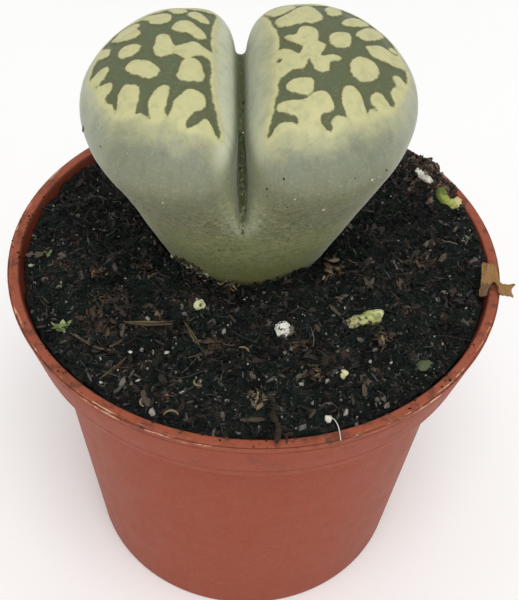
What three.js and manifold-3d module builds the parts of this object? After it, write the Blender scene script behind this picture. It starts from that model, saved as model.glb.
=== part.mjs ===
// A potted lithops: a two-leaved living-stone plant in a round plastic nursery pot of gritty peat.
// Millimetres, +Z up. The origin is the middle of the pot's flat underside.

import * as THREE from 'three';
import { mergeVertices } from 'three/addons/utils/BufferGeometryUtils.js';
import Module from 'manifold-3d';

const wasm = await Module();
wasm.setup();

const DEGREE = Math.PI / 180;
const TURN = 2 * Math.PI;
const CLEARANCE = 0.3;              // between pieces that touch

// ---------------------------------------------------------------- driving sizes

const POT = {
  height: 43.2,
  rimRadius: 27.5,
  lipWidth: 1.3,
  collarHeight: 6.9,
  collarFootRadius: 25.7,           // outside radius at the collar's lower edge
  bodyTopRadius: 23.7,              // outside radius just under the collar
  baseRadius: 19.7,
  wall: 0.9,
  floor: 1.3,
  edge: 0.4,                        // rounding of the lip and of the foot
  segments: 72,
  drainHoles: 6,
  drainRadius: 2.2,
  drainCircle: 13.5,
};

const SOIL = {
  level: 42.0,
  rings: 12,
  segments: 48,
  frontRise: 0.5,                   // the peat climbs this much towards the front
  mound: { x: 20.6, y: 14.8, spread: 3.6, height: 2.9 },
  dish: { x: -1.1, y: -4.5, spread: 3.4, height: -0.8 },   // in front of the plant's neck
  chips: 100,
  chipSeed: 7,
};

// The plant's own frame stands on the soil and leans forward and a little to the left.
const PLANT = {
  x: -1.5,
  y: 4.3,
  leanForward: 9.7,
  leanLeft: 2.15,
  yaw: 3.1,
  halfDepth: 12.4,                  // front to back, at the widest level
  widestHeight: 21.3,               // widest level above the soil
  halfCleft: 0.25,
  cleftEnd: 0.6,                    // the cleft ends at this share of the widest height
  forkStart: 0.2,                   // below this share the two leaves are one neck
  outerPower: 1.83,                 // roundness of a leaf's outer side
  innerPower: 3.6,                  // flatness of its face towards the cleft
  lipPower: 9,                      // tightness of the cleft's lips where it closes
  taper: [0.51, 0.64, 0.74, 0.89, 1.0],   // width from the soil up to the widest level, in quarters
  neckDepth: 1.01,                  // depth at the soil, as a share of the width's taper
  rootDepth: 12,
  rootWidth: 0.12,                  // the tap root's tip, as a share of the neck
  relief: 0.28,                     // the pale islands stand this proud of the dark windows
};

const LEAVES = {
  left: { side: -1, outer: 9.8, inner: 6.1, dome: 5.9 },
  right: { side: 1, outer: 10.6, inner: 6.9, dome: 6.4 },
};

// Pale islands on each leaf's face: azimuth and latitude on the dome in degrees, from the leaf's
// outer side and its rim; half length and half width in mm; turn in degrees.
LEAVES.left.islands = [
  [76, 50, 1.5, 0.8, -60],
  [91, 44, 0.8, 0.4, -15],
  [108, 51, 1.4, 0.7, -55],
  [99, 64, 1.2, 0.8, -20],
  [119, 65, 1.0, 0.6, -70],
  [49, 46, 1.7, 0.9, -65],
  [59, 77, 1.6, 0.9, -85],
  [140, 74, 1.8, 1.0, 20],
  [22, 60, 1.2, 1.0, -40],
  [24, 39, 1.2, 0.7, -60],
  [340, 71, 1.7, 1.1, -20],
  [221, 74, 1.5, 1.2, 75],
  [359, 42, 1.0, 0.7, 35],
  [339, 40, 1.2, 0.9, -70],
  [313, 52, 1.8, 1.0, -80],
  [286, 60, 2.0, 0.9, -80],
  [254, 61, 1.8, 1.4, 85],
  [250, 43, 1.1, 1.0, 50],
];
LEAVES.right.islands = [
  [112, 47, 1.2, 0.8, 75],
  [102, 61, 2.3, 1.3, 25],
  [73, 47, 1.2, 0.7, 60],
  [54, 50, 1.4, 0.7, 35],
  [37, 49, 1.7, 0.9, 45],
  [39, 73, 1.3, 1.1, 65],
  [11, 50, 1.9, 1.1, -5],
  [342, 63, 1.7, 1.4, 50],
  [98, 75, 1.3, 1.1, 85],
  [132, 70, 1.0, 0.6, -30],
  [84, 85, 1.2, 1.0, 10],
  [297, 82, 1.0, 0.9, 70],
  [176, 67, 1.6, 0.8, -30],
  [206, 67, 1.7, 0.9, -30],
  [248, 70, 1.4, 1.0, -10],
  [250, 58, 1.6, 0.9, -10],
  [273, 60, 1.4, 1.2, 30],
  [301, 53, 1.8, 1.0, 90],
  [322, 43, 1.2, 0.9, -75],
  [347, 36, 1.2, 1.0, 30],
];

// ---------------------------------------------------------------- colours

const finish = (color, roughness) => new THREE.MeshStandardMaterial({ color, roughness, metalness: 0 });
const terracottaPlastic = finish(0xa85c45, 0.5);
const peat = finish(0x2a241f, 0.95);
const lithopsSkin = finish(0xb3b798, 0.6);
const dryLeaf = finish(0xb08a55, 0.8);
const perlite = finish(0xe6e6d6, 0.9);
const greenHusk = finish(0xb9bf6a, 0.75);
const moss = finish(0xa3ad4a, 0.9);
const paleGrain = finish(0xd9d7a6, 0.8);
const bark = finish(0x54452f, 0.9);

// ---------------------------------------------------------------- solids

// Merge shared corners and turn the faces outward.
function closed(geometry) {
  const bare = geometry.clone();
  for (const name of Object.keys(bare.attributes)) {
    if (name !== 'position') bare.deleteAttribute(name);
  }
  const merged = mergeVertices(bare, 1e-4);
  const p = merged.attributes.position;
  const corners = Array.from(merged.index.array);
  const kept = [];
  let volume = 0;
  const corner = i => new THREE.Vector3().fromBufferAttribute(p, i);
  for (let i = 0; i < corners.length; i += 3) {
    const [a, b, c] = corners.slice(i, i + 3);
    if (a === b || b === c || c === a) continue;
    kept.push(a, b, c);
    volume += corner(a).dot(corner(b).cross(corner(c)));
  }
  if (volume < 0) kept.reverse();
  merged.setIndex(kept);
  return merged;
}

function toSolid(geometry) {
  const body = closed(geometry);
  return new wasm.Manifold(new wasm.Mesh({
    numProp: 3,
    vertProperties: new Float32Array(body.attributes.position.array),
    triVerts: new Uint32Array(body.index.array),
  }));
}

function toGeometry(solid) {
  const mesh = solid.getMesh();
  const geometry = new THREE.BufferGeometry();
  geometry.setAttribute('position', new THREE.BufferAttribute(new Float32Array(mesh.vertProperties), 3));
  geometry.setIndex(new THREE.BufferAttribute(new Uint32Array(mesh.triVerts), 1));
  return geometry;
}

// A closed body from rings of points, all of one length, with a point at each end.
function loft(rings, first, last) {
  const count = rings[0].length;
  const points = [first, ...rings.flat(), last];
  const index = [];
  const at = (ring, k) => 1 + ring * count + (k % count);
  for (let k = 0; k < count; k += 1) {
    index.push(0, at(0, k + 1), at(0, k));
    index.push(points.length - 1, at(rings.length - 1, k), at(rings.length - 1, k + 1));
    for (let ring = 0; ring + 1 < rings.length; ring += 1) {
      index.push(at(ring, k), at(ring, k + 1), at(ring + 1, k));
      index.push(at(ring, k + 1), at(ring + 1, k + 1), at(ring + 1, k));
    }
  }
  const geometry = new THREE.BufferGeometry();
  const flat = new Float32Array(points.flatMap(point => point.toArray()));
  geometry.setAttribute('position', new THREE.BufferAttribute(flat, 3));
  geometry.setIndex(index);
  return geometry;
}

// A lathe profile of (radius, height) pairs, turned about Z.
function turned(profile, segments) {
  const points = profile.map(([radius, height]) => new THREE.Vector2(radius, height));
  return new THREE.LatheGeometry(points, segments).rotateX(Math.PI / 2);
}

// A round stick along a smooth line through the points, with flat ends.
function stick(points, radius, sides = 6, steps = 10) {
  const section = new THREE.Shape();
  for (let k = 0; k < sides; k += 1) {
    const angle = TURN * k / sides;
    const move = k === 0 ? 'moveTo' : 'lineTo';
    section[move](radius * Math.cos(angle), radius * Math.sin(angle));
  }
  const line = new THREE.CatmullRomCurve3(points.map(point => new THREE.Vector3(...point)));
  return new THREE.ExtrudeGeometry(section, { steps, extrudePath: line, bevelEnabled: false });
}

// A repeatable draw between 0 and 1.
function draws(seed) {
  let state = seed >>> 0;
  return () => {
    state = (state + 0x6d2b79f5) >>> 0;
    let t = state;
    t = Math.imul(t ^ (t >>> 15), t | 1);
    t ^= t + Math.imul(t ^ (t >>> 7), t | 61);
    return ((t ^ (t >>> 14)) >>> 0) / 4294967296;
  };
}

const smooth = (low, high, value) => {
  const t = Math.min(1, Math.max(0, (value - low) / (high - low)));
  return t * t * (3 - 2 * t);
};

// ---------------------------------------------------------------- pot

const collarFoot = POT.height - POT.collarHeight;
const lipInner = POT.rimRadius - POT.lipWidth;
const collarSlope = (POT.rimRadius - POT.collarFootRadius) / POT.collarHeight;
const bodySlope = (POT.bodyTopRadius - POT.baseRadius) / collarFoot;
const ledge = collarFoot + POT.wall;                       // inside step under the collar
const insideCollar = z => lipInner - collarSlope * (POT.height - z);
const insideBody = z => POT.baseRadius - POT.wall + bodySlope * z;

function pot() {
  const body = turned([
    [0, 0],
    [POT.baseRadius - POT.edge, 0],
    [POT.baseRadius, POT.edge],
    [POT.bodyTopRadius, collarFoot - POT.edge],
    [POT.bodyTopRadius + POT.edge, collarFoot],
    [POT.collarFootRadius - POT.edge / 2, collarFoot],
    [POT.collarFootRadius, collarFoot + POT.edge / 2],
    [POT.rimRadius, POT.height - POT.edge],
    [POT.rimRadius - POT.edge, POT.height],
    [lipInner + POT.edge / 2, POT.height],
    [lipInner, POT.height - POT.edge],
    [insideCollar(ledge), ledge],
    [insideBody(ledge), ledge],
    [insideBody(POT.floor), POT.floor],
    [0, POT.floor],
  ], POT.segments);
  let solid = toSolid(body);
  for (let k = 0; k < POT.drainHoles; k += 1) {
    const angle = TURN * k / POT.drainHoles;
    const drill = new THREE.CylinderGeometry(POT.drainRadius, POT.drainRadius, 3 * POT.floor, 12);
    drill.rotateX(Math.PI / 2);
    drill.translate(POT.drainCircle * Math.cos(angle), POT.drainCircle * Math.sin(angle), 0);
    solid = solid.subtract(toSolid(drill));
  }
  return toGeometry(solid);
}

// ---------------------------------------------------------------- plant

const plantFrame = new THREE.Matrix4()
  .makeTranslation(PLANT.x, PLANT.y, SOIL.level)
  .multiply(new THREE.Matrix4().makeRotationZ(PLANT.yaw * DEGREE))
  .multiply(new THREE.Matrix4().makeRotationY(-PLANT.leanLeft * DEGREE))
  .multiply(new THREE.Matrix4().makeRotationX(PLANT.leanForward * DEGREE));

// Width of the plant at a share of the widest height, as a share of its full width.
function taper(share) {
  const last = PLANT.taper.length - 1;
  const place = Math.min(last - 1e-6, Math.max(0, share * last));
  const k = Math.floor(place);
  const value = i => PLANT.taper[Math.min(last, Math.max(0, i))];
  const slopeIn = (value(k + 1) - value(k - 1)) / 2;
  const slopeOut = (value(k + 2) - value(k)) / 2;
  const t = place - k;
  return value(k) * (2 * t ** 3 - 3 * t ** 2 + 1) + slopeIn * (t ** 3 - 2 * t ** 2 + t)
    + value(k + 1) * (3 * t ** 2 - 2 * t ** 3) + slopeOut * (t ** 3 - t ** 2);
}

// Radius of a rounded outline with the given half sizes along the two axes.
function outlineRadius(angle, halfWidth, halfDepth, power) {
  const across = Math.abs(Math.cos(angle) / halfWidth) ** power;
  const along = Math.abs(Math.sin(angle) / halfDepth) ** power;
  return (across + along) ** (-1 / power);
}

function leafRadius(leaf, azimuth) {
  return Math.cos(azimuth) > 0
    ? outlineRadius(azimuth, leaf.outer, PLANT.halfDepth, PLANT.outerPower)
    : outlineRadius(azimuth, leaf.inner, PLANT.halfDepth, PLANT.innerPower);
}

// The same radius where the cleft has closed: half of one oval, cut flat along the cleft.
function fusedRadius(leaf, azimuth) {
  const halfWidth = leaf.outer + leaf.inner;
  const c = Math.cos(azimuth);
  const a = (c / halfWidth) ** 2 + (Math.sin(azimuth) / PLANT.halfDepth) ** 2;
  const b = leaf.inner * c / halfWidth ** 2;
  const oval = (-b + Math.sqrt(b * b - a * ((leaf.inner / halfWidth) ** 2 - 1))) / a;
  const toCleft = Math.max(0, -c) / leaf.inner;
  return (oval ** -PLANT.lipPower + toCleft ** PLANT.lipPower) ** (-1 / PLANT.lipPower);
}

// A point of a leaf's side at a share of the widest height, in the plant's frame.
function sidePoint(leaf, azimuth, share, inset = 1) {
  const width = taper(share);
  const depth = width * (PLANT.neckDepth + (1 - PLANT.neckDepth) * share);
  const parted = smooth(PLANT.cleftEnd, 1, share);
  const radius = inset * (leafRadius(leaf, azimuth) * parted + fusedRadius(leaf, azimuth) * (1 - parted));
  return new THREE.Vector3(
    leaf.side * (PLANT.halfCleft + width * (leaf.inner + radius * Math.cos(azimuth))),
    depth * radius * Math.sin(azimuth),
    share * PLANT.widestHeight,
  );
}

// A point of a leaf's dome, in the plant's frame.
function domePoint(leaf, azimuth, latitude) {
  const radius = Math.cos(latitude) * leafRadius(leaf, azimuth);
  return new THREE.Vector3(
    leaf.side * (PLANT.halfCleft + leaf.inner + radius * Math.cos(azimuth)),
    radius * Math.sin(azimuth),
    PLANT.widestHeight + leaf.dome * Math.sin(latitude),
  );
}

function domeNormal(leaf, azimuth, latitude) {
  const step = 0.01;
  const top = Math.min(latitude, 89 * DEGREE);
  const around = domePoint(leaf, azimuth + step, top).sub(domePoint(leaf, azimuth - step, top));
  const upward = domePoint(leaf, azimuth, top + step).sub(domePoint(leaf, azimuth, top - step));
  return around.cross(upward).multiplyScalar(leaf.side).normalize();
}

// How far a point of the dome lies inside the pale islands: 0 on the windows, 1 on an island.
function islandHeight(leaf, point) {
  let height = 0;
  for (const [azimuth, latitude, halfLength, halfWidth, turn] of leaf.islands) {
    const centre = domePoint(leaf, azimuth * DEGREE, latitude * DEGREE);
    const normal = domeNormal(leaf, azimuth * DEGREE, latitude * DEGREE);
    const east = new THREE.Vector3(1, 0, 0).projectOnPlane(normal).normalize();
    const lengthwise = east.applyAxisAngle(normal, turn * DEGREE);
    const sideways = new THREE.Vector3().crossVectors(normal, lengthwise);
    const offset = point.clone().sub(centre);
    const reach = Math.hypot(offset.dot(lengthwise) / halfLength, offset.dot(sideways) / halfWidth);
    height = Math.max(height, 1 - smooth(0.7, 1.3, reach));
  }
  return height;
}

// Everything below the face's rim is as high as an island, so that the windows lie sunk.
function skinPoint(leaf, azimuth, latitude) {
  const point = domePoint(leaf, azimuth, latitude);
  const rim = 1 - smooth(34 * DEGREE, 46 * DEGREE, latitude);
  const raised = Math.max(rim, islandHeight(leaf, point));
  return point.addScaledVector(domeNormal(leaf, azimuth, latitude), PLANT.relief * (raised - 1));
}

// One leaf, from a flat foot inside the neck up to the top of its dome.
function leafBody(leaf) {
  const around = 50;
  const levels = 7;
  const domeRings = 15;
  const rings = [];
  const ringOf = place => Array.from({ length: around }, (_, k) => place(TURN * k / around));
  for (let level = 0; level < levels; level += 1) {
    const share = PLANT.forkStart + (1 - PLANT.forkStart) * level / levels;
    const inset = level === 0 ? 0.8 : 1;
    rings.push(ringOf(azimuth => sidePoint(leaf, azimuth, share, inset)));
  }
  for (let ring = 0; ring < domeRings; ring += 1) {
    const latitude = 90 * DEGREE * ring / domeRings;
    rings.push(ringOf(azimuth => skinPoint(leaf, azimuth, latitude)));
  }
  return loft(rings, sidePoint(leaf, 0, PLANT.forkStart, 0), skinPoint(leaf, 0, 90 * DEGREE));
}

// The fused neck and tap root, grown all round by a margin.
function neckBody(grow, lowest, highest) {
  const around = 36;
  const rings = [];
  const levels = 11;
  for (let level = 0; level < levels; level += 1) {
    const z = lowest + (highest - lowest) * level / (levels - 1);
    const share = z / PLANT.widestHeight;
    const root = Math.max(PLANT.rootWidth, Math.min(1, Math.max(0, 1 + z / PLANT.rootDepth) ** 0.8));
    const tucked = 1 - 0.03 * smooth(PLANT.forkStart, PLANT.forkStart + 0.2, share);
    const width = root * tucked * taper(share);
    rings.push(Array.from({ length: around }, (_, k) => {
      const azimuth = TURN * k / around;
      const leaf = Math.cos(azimuth) > 0 ? LEAVES.right : LEAVES.left;
      const halfWidth = leaf.outer + leaf.inner + PLANT.halfCleft / width;
      const radius = outlineRadius(azimuth, halfWidth, PLANT.halfDepth, 2);
      return new THREE.Vector3(
        (width * radius + grow) * Math.cos(azimuth),
        (width * PLANT.neckDepth * radius + grow) * Math.sin(azimuth),
        z,
      );
    }));
  }
  return loft(rings, new THREE.Vector3(0, 0, lowest), new THREE.Vector3(0, 0, highest));
}

function lithops() {
  const neck = toSolid(neckBody(0, -PLANT.rootDepth, PLANT.cleftEnd * PLANT.widestHeight));
  const fused = toSolid(leafBody(LEAVES.left)).add(toSolid(leafBody(LEAVES.right))).add(neck);
  return toGeometry(fused).applyMatrix4(plantFrame);
}

// ---------------------------------------------------------------- soil

// Height of the peat over a point of the pot's mouth.
function soilHeight(x, y) {
  const waves = [
    [0.22, 11.0, 20, 0.4],
    [0.20, 7.3, 75, 1.9],
    [0.18, 5.1, 130, 3.1],
    [0.16, 3.9, 48, 0.7],
    [0.13, 3.1, 160, 5.2],
    [0.11, 2.5, 100, 2.6],
  ];
  let height = SOIL.level + SOIL.frontRise * smooth(8, 24, -y);
  for (const [size, length, heading, phase] of waves) {
    const along = x * Math.cos(heading * DEGREE) + y * Math.sin(heading * DEGREE);
    height += size * Math.sin(TURN * along / length + phase);
  }
  for (const swell of [SOIL.mound, SOIL.dish]) {
    const away = Math.hypot(x - swell.x, y - swell.y) / swell.spread;
    height += swell.height * Math.exp(-away * away / 2);
  }
  return height;
}

// Broken bark and peat chips, half sunk in the surface.
function soilChips() {
  const draw = draws(SOIL.chipSeed);
  const chips = [];
  const reach = insideCollar(SOIL.level) - 1.8;
  while (chips.length < SOIL.chips) {
    const radius = reach * Math.sqrt(draw());
    const angle = TURN * draw();
    const x = radius * Math.cos(angle);
    const y = radius * Math.sin(angle);
    const size = 0.7 + 1.0 * draw() ** 2;
    const chip = new THREE.OctahedronGeometry(1);
    chip.rotateZ(TURN / 8);
    chip.scale(size, size * (0.5 + 0.4 * draw()), size * (0.35 + 0.3 * draw()));
    chip.applyMatrix4(new THREE.Matrix4().makeShear(0, 0.6 * draw() - 0.3, 0, 0, 0.6 * draw() - 0.3, 0));
    chip.rotateX((draw() - 0.5) * 1.2);
    chip.rotateZ(TURN * draw());
    const fromNeck = Math.hypot((x - PLANT.x) / 11, (y - PLANT.y) / 9);
    if (fromNeck < 1) continue;
    chip.translate(x, y, soilHeight(x, y) + 0.08 * size);
    chips.push(toSolid(chip));
  }
  return chips;
}

// Straws lying on the peat: their ends in plan, with a bend where there is a third point.
const STRAWS = [
  [[-13.8, -11.1], [-7.6, -10.5], [-5.6, -13.4]],
  [[-7.6, -16.2], [-5.6, -14.8], [-3.6, -13.6]],
  [[-16.0, -19.6], [-14.9, -18.2], [-13.7, -16.6]],
  [[-18.8, -12.5], [-16.4, -13.9], [-14.2, -15.1]],
];
const strawRadius = 0.35;

function straws() {
  return STRAWS.map(ends => {
    const line = ends.map(([x, y]) => [x, y, soilHeight(x, y) + 0.5 * strawRadius]);
    return toSolid(stick(line, strawRadius, 5, 5));
  });
}

function soilBody() {
  const top = [];
  const edge = insideCollar(SOIL.level) - CLEARANCE;
  for (let ring = 1; ring <= SOIL.rings; ring += 1) {
    const radius = edge * ring / SOIL.rings;
    top.push(Array.from({ length: SOIL.segments }, (_, k) => {
      const angle = TURN * k / SOIL.segments;
      const x = radius * Math.cos(angle);
      const y = radius * Math.sin(angle);
      return new THREE.Vector3(x, y, soilHeight(x, y));
    }));
  }
  const circle = (radius, z) => Array.from({ length: SOIL.segments }, (_, k) => {
    const angle = TURN * k / SOIL.segments;
    return new THREE.Vector3(radius * Math.cos(angle), radius * Math.sin(angle), z);
  });
  const foot = POT.floor + CLEARANCE;
  const step = ledge + CLEARANCE;
  const sides = [
    circle(insideBody(foot) - CLEARANCE, foot),
    circle(insideBody(ledge) - CLEARANCE, step),
    circle(insideCollar(step) - CLEARANCE, step),
    circle(insideCollar(SOIL.level - 1.6) - CLEARANCE, SOIL.level - 1.6),
  ];
  const rings = [...sides, ...top.reverse()];
  return loft(rings, new THREE.Vector3(0, 0, foot), new THREE.Vector3(0, 0, soilHeight(0, 0)));
}

// ---------------------------------------------------------------- loose bits on the peat

// A lumpy grain: half sizes, turn about Z, and how much it is grown for its bed.
function grain({ x, y, half, turn, sunk, seed, detail = 1 }, grow = 0) {
  const draw = draws(seed);
  const lumps = [1, 2, 3].map(() => [draw() * 6, draw() * 6, draw() * 6]);
  const geometry = new THREE.IcosahedronGeometry(1, detail);
  const p = geometry.attributes.position;
  const v = new THREE.Vector3();
  for (let i = 0; i < p.count; i += 1) {
    v.fromBufferAttribute(p, i).normalize();
    const bump = lumps.reduce((sum, [a, b, c]) => sum + Math.sin(a * v.x + b * v.y + c * v.z), 0);
    const radius = 1 + 0.07 * bump;
    p.setXYZ(i, v.x * (half[0] * radius + grow), v.y * (half[1] * radius + grow), v.z * (half[2] * radius + grow));
  }
  geometry.rotateZ(turn * DEGREE);
  geometry.translate(x, y, soilHeight(x, y) + half[2] * (1 - 2 * sunk));
  return geometry;
}

const GRAINS = {
  perlite_crumb_large: { x: 3.4, y: -10.9, half: [0.85, 0.95, 0.8], turn: 20, sunk: 0.3, seed: 3, finish: perlite },
  perlite_crumb_small: { x: 19.9, y: 12.7, half: [1.1, 0.7, 0.6], turn: -35, sunk: 0.3, seed: 5, finish: perlite },
  green_husk: { x: 12.1, y: -8.8, half: [1.95, 0.85, 0.75], turn: 27, sunk: 0.25, seed: 11, finish: greenHusk },
  moss_tuft: { x: 22.5, y: 10.6, half: [1.5, 1.05, 0.7], turn: -30, sunk: 0.3, seed: 13, finish: moss },
  pale_pebble: { x: -5.6, y: -8.0, half: [0.65, 0.7, 0.6], turn: 0, sunk: 0.3, seed: 17, finish: paleGrain },
  cream_grain: { x: 9.6, y: -17.1, half: [0.65, 0.6, 0.55], turn: 40, sunk: 0.3, seed: 19, finish: paleGrain },
};

const twigRadius = 0.4;
const twigOverLip = POT.height + CLEARANCE + twigRadius + 0.05;
const TWIG = [
  [2.2, -19.6, soilHeight(2.2, -19.6) + 0.3],
  [2.7, -22.0, soilHeight(2.7, -22.0) + 0.45],
  [3.1, -24.4, twigOverLip - 0.35],
  [3.2, -25.8, twigOverLip],
  [3.2, -27.0, twigOverLip],
];

function barkTwig(grow = 0) {
  return stick(TWIG, twigRadius + grow, 6, 12);
}

function soil() {
  let solid = wasm.Manifold.union([toSolid(soilBody()), ...soilChips(), ...straws()]);
  const holeTop = 6;
  const hole = neckBody(CLEARANCE + 0.05, -PLANT.rootDepth - CLEARANCE, holeTop).applyMatrix4(plantFrame);
  solid = solid.subtract(toSolid(hole));
  for (const bit of Object.values(GRAINS)) {
    solid = solid.subtract(toSolid(grain(bit, CLEARANCE)));
  }
  solid = solid.subtract(toSolid(barkTwig(CLEARANCE)));
  return toGeometry(largest(solid));
}

// Scraps that a cut has freed are dropped.
function largest(solid) {
  const pieces = solid.decompose();
  pieces.sort((a, b) => b.volume() - a.volume());
  return pieces[0];
}

// A flat scrap of dry leaf: a panel that lies along the lip, and a torn tongue that sticks out.
function dryLeafScrap() {
  const outline = new THREE.Shape();
  outline.moveTo(-2.3, -0.7);
  outline.lineTo(2.1, -0.8);
  outline.lineTo(2.2, 0.7);
  outline.lineTo(0.4, 1.0);
  outline.lineTo(0.45, 2.5);
  outline.lineTo(0.8, 3.0);
  outline.lineTo(-0.2, 2.4);
  outline.lineTo(-1.0, 2.7);
  outline.lineTo(-0.9, 0.9);
  outline.lineTo(-2.2, 0.3);
  outline.closePath();
  const thickness = 0.6;
  const scrap = new THREE.ExtrudeGeometry(outline, { depth: thickness, bevelEnabled: false });
  scrap.translate(0, 0, -thickness / 2);
  const along = new THREE.Vector3(0.1, 0.98, 0.14).normalize();
  const outward = new THREE.Vector3(0.99, -0.1, 0.0).projectOnPlane(along).normalize();
  const up = new THREE.Vector3().crossVectors(outward, along);
  const seat = new THREE.Matrix4().makeBasis(along, outward, up.negate());
  seat.setPosition(25.9, -2.9, POT.height + CLEARANCE + thickness / 2 + 0.2);
  return scrap.applyMatrix4(seat);
}

// ---------------------------------------------------------------- assembly

const part = new THREE.Group();

function add(name, geometry, material) {
  const mesh = new THREE.Mesh(closed(geometry), material);
  mesh.name = name;
  part.add(mesh);
}

add('pot', pot(), terracottaPlastic);
add('soil', soil(), peat);
add('lithops', lithops(), lithopsSkin);
for (const [name, bit] of Object.entries(GRAINS)) {
  add(name, grain(bit), bit.finish);
}
add('bark_twig', barkTwig(), bark);
add('dry_leaf_scrap', dryLeafScrap(), dryLeaf);

export default part;
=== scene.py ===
"""A potted lithops: the fine surfaces of a living-stone plant, its peat and its nursery pot.

The file is laid out as an add-on. Each operator makes one piece or a group of like pieces, in
millimetres, and hands the finished mesh over in metres, in the frame of the CAD model.
"""

import math

import bmesh
import bpy
import numpy as np
from mathutils import Matrix, Vector
from mathutils.bvhtree import BVHTree


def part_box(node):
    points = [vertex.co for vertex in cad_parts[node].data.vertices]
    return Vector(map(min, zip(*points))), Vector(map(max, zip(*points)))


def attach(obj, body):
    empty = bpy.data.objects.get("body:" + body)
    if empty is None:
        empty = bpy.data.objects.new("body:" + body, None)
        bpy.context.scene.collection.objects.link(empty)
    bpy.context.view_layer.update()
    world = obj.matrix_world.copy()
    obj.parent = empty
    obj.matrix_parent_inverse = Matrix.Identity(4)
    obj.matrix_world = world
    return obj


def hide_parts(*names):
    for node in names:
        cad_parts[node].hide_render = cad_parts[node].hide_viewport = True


bl_info = {
    "name": "Potted lithops",
    "version": (1, 0, 0),
    "blender": (4, 5, 0),
    "location": "3D View > Sidebar > Lithops",
    "description": "Makes the fine surfaces of a potted living-stone plant",
    "category": "Add Mesh",
}

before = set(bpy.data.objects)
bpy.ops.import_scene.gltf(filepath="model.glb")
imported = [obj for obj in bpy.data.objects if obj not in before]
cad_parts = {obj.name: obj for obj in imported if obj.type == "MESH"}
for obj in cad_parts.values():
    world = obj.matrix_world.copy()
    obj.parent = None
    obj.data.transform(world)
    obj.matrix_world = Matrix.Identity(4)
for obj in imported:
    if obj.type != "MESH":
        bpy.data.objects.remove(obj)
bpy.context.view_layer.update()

# ---------------------------------------------------------------- units and driving sizes, in mm

MM = 0.001
DEGREE = math.pi / 180
TURN = 2 * math.pi

POT_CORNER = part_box("pot")[1] / MM
POT_HEIGHT = POT_CORNER.z
RIM_RADIUS = POT_CORNER.x
LIP_WIDTH = 1.3
LIP_INNER = RIM_RADIUS - LIP_WIDTH
COLLAR_HEIGHT = 6.9
COLLAR_FOOT_RADIUS = 25.7
BODY_TOP_RADIUS = 23.7
BASE_RADIUS = 19.7
WALL = 0.9
FLOOR = 1.3
DRAIN_HOLES = 6
DRAIN_RADIUS = 2.2
DRAIN_CIRCLE = 13.5

SOIL_LEVEL = 42.0
CLEARANCE = 0.3
FRONT_RISE = 0.5
MOUND = (20.4, 14.4, 3.6, 2.3)          # x, y, spread, height
BANK = (25.0, 4.5, 5.5, 1.3)
DISH = (-1.1, -4.5, 3.4, -0.8)
SOIL_WAVES = [                          # size, length, heading in degrees, phase
    (0.22, 11.0, 20, 0.4),
    (0.20, 7.3, 75, 1.9),
    (0.18, 5.1, 130, 3.1),
    (0.16, 3.9, 48, 0.7),
    (0.13, 3.1, 160, 5.2),
    (0.11, 2.5, 100, 2.6),
]

PLANT_AT = (-1.5, 4.3, SOIL_LEVEL)
LEAN_FORWARD = 9.7
LEAN_LEFT = 2.15
YAW = 3.1
HALF_DEPTH = 12.4
WIDEST_HEIGHT = 21.3
HALF_CLEFT = 0.25
CLEFT_END = 0.6                         # share of the widest height where the cleft closes
FORK_START = 0.2
OUTER_POWER = 1.83
INNER_POWER = 3.6
LIP_POWER = 26
TAPER_START = -0.25                     # share of the widest height that the tapers begin at
DEPTH_TAPER = [0.47, 0.59, 0.695, 0.80, 0.915, 1.0]
WEB_HEIGHTS = (0.55, 0.64, 0.72, 0.85, 1.0)     # shares of the widest height
WEB_FRONT = (1.0, 0.96, 0.76, 0.58, 0.38)       # shares of the plant's depth there
WEB_BACK = (1.0, 0.98, 0.95, 0.78, 0.54)
WEB_CREST = 0.85
WINDOW_REACH = 1.6                      # depth in a window, or distance from it, that is told apart
FAR = 12.0                              # distance from the windows noted where none is measured
ROOT_TOP = -2.5
ROOT_DEPTH = 12
ROOT_WIDTH = 0.12
LEAVES = {
    "left": {
        "side": -1, "outer": 9.8, "inner": 6.1, "dome": 5.9,
        "taper": [0.45, 0.57, 0.69, 0.79, 0.90, 1.0],
    },
    "right": {
        "side": 1, "outer": 10.6, "inner": 6.9, "dome": 6.4,
        "taper": [0.45, 0.57, 0.70, 0.825, 0.93, 1.0],
    },
}

# The stage, in metres.
FLOOR_HALF = 1.5
WORLD_STRENGTH = 0.70
KEY_AT = (0.06, -0.35, 0.78)
KEY_AIM = (0, 0, 0.05)
KEY_SIZE = 0.5
KEY_POWER = 3.2

# The stage camera, and the picture that it takes.
PICTURE_WIDTH = 519
PICTURE_HEIGHT = 600
FOCAL_LENGTH = 1104.7                   # in units of the picture
CAMERA_AT = Vector((0.76, -90.7, 128.42))
CAMERA_DROP = 45.7                      # below the horizon, in degrees
CAMERA_ROLL = 2.94

# ---------------------------------------------------------------- markings of the leaves

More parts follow.
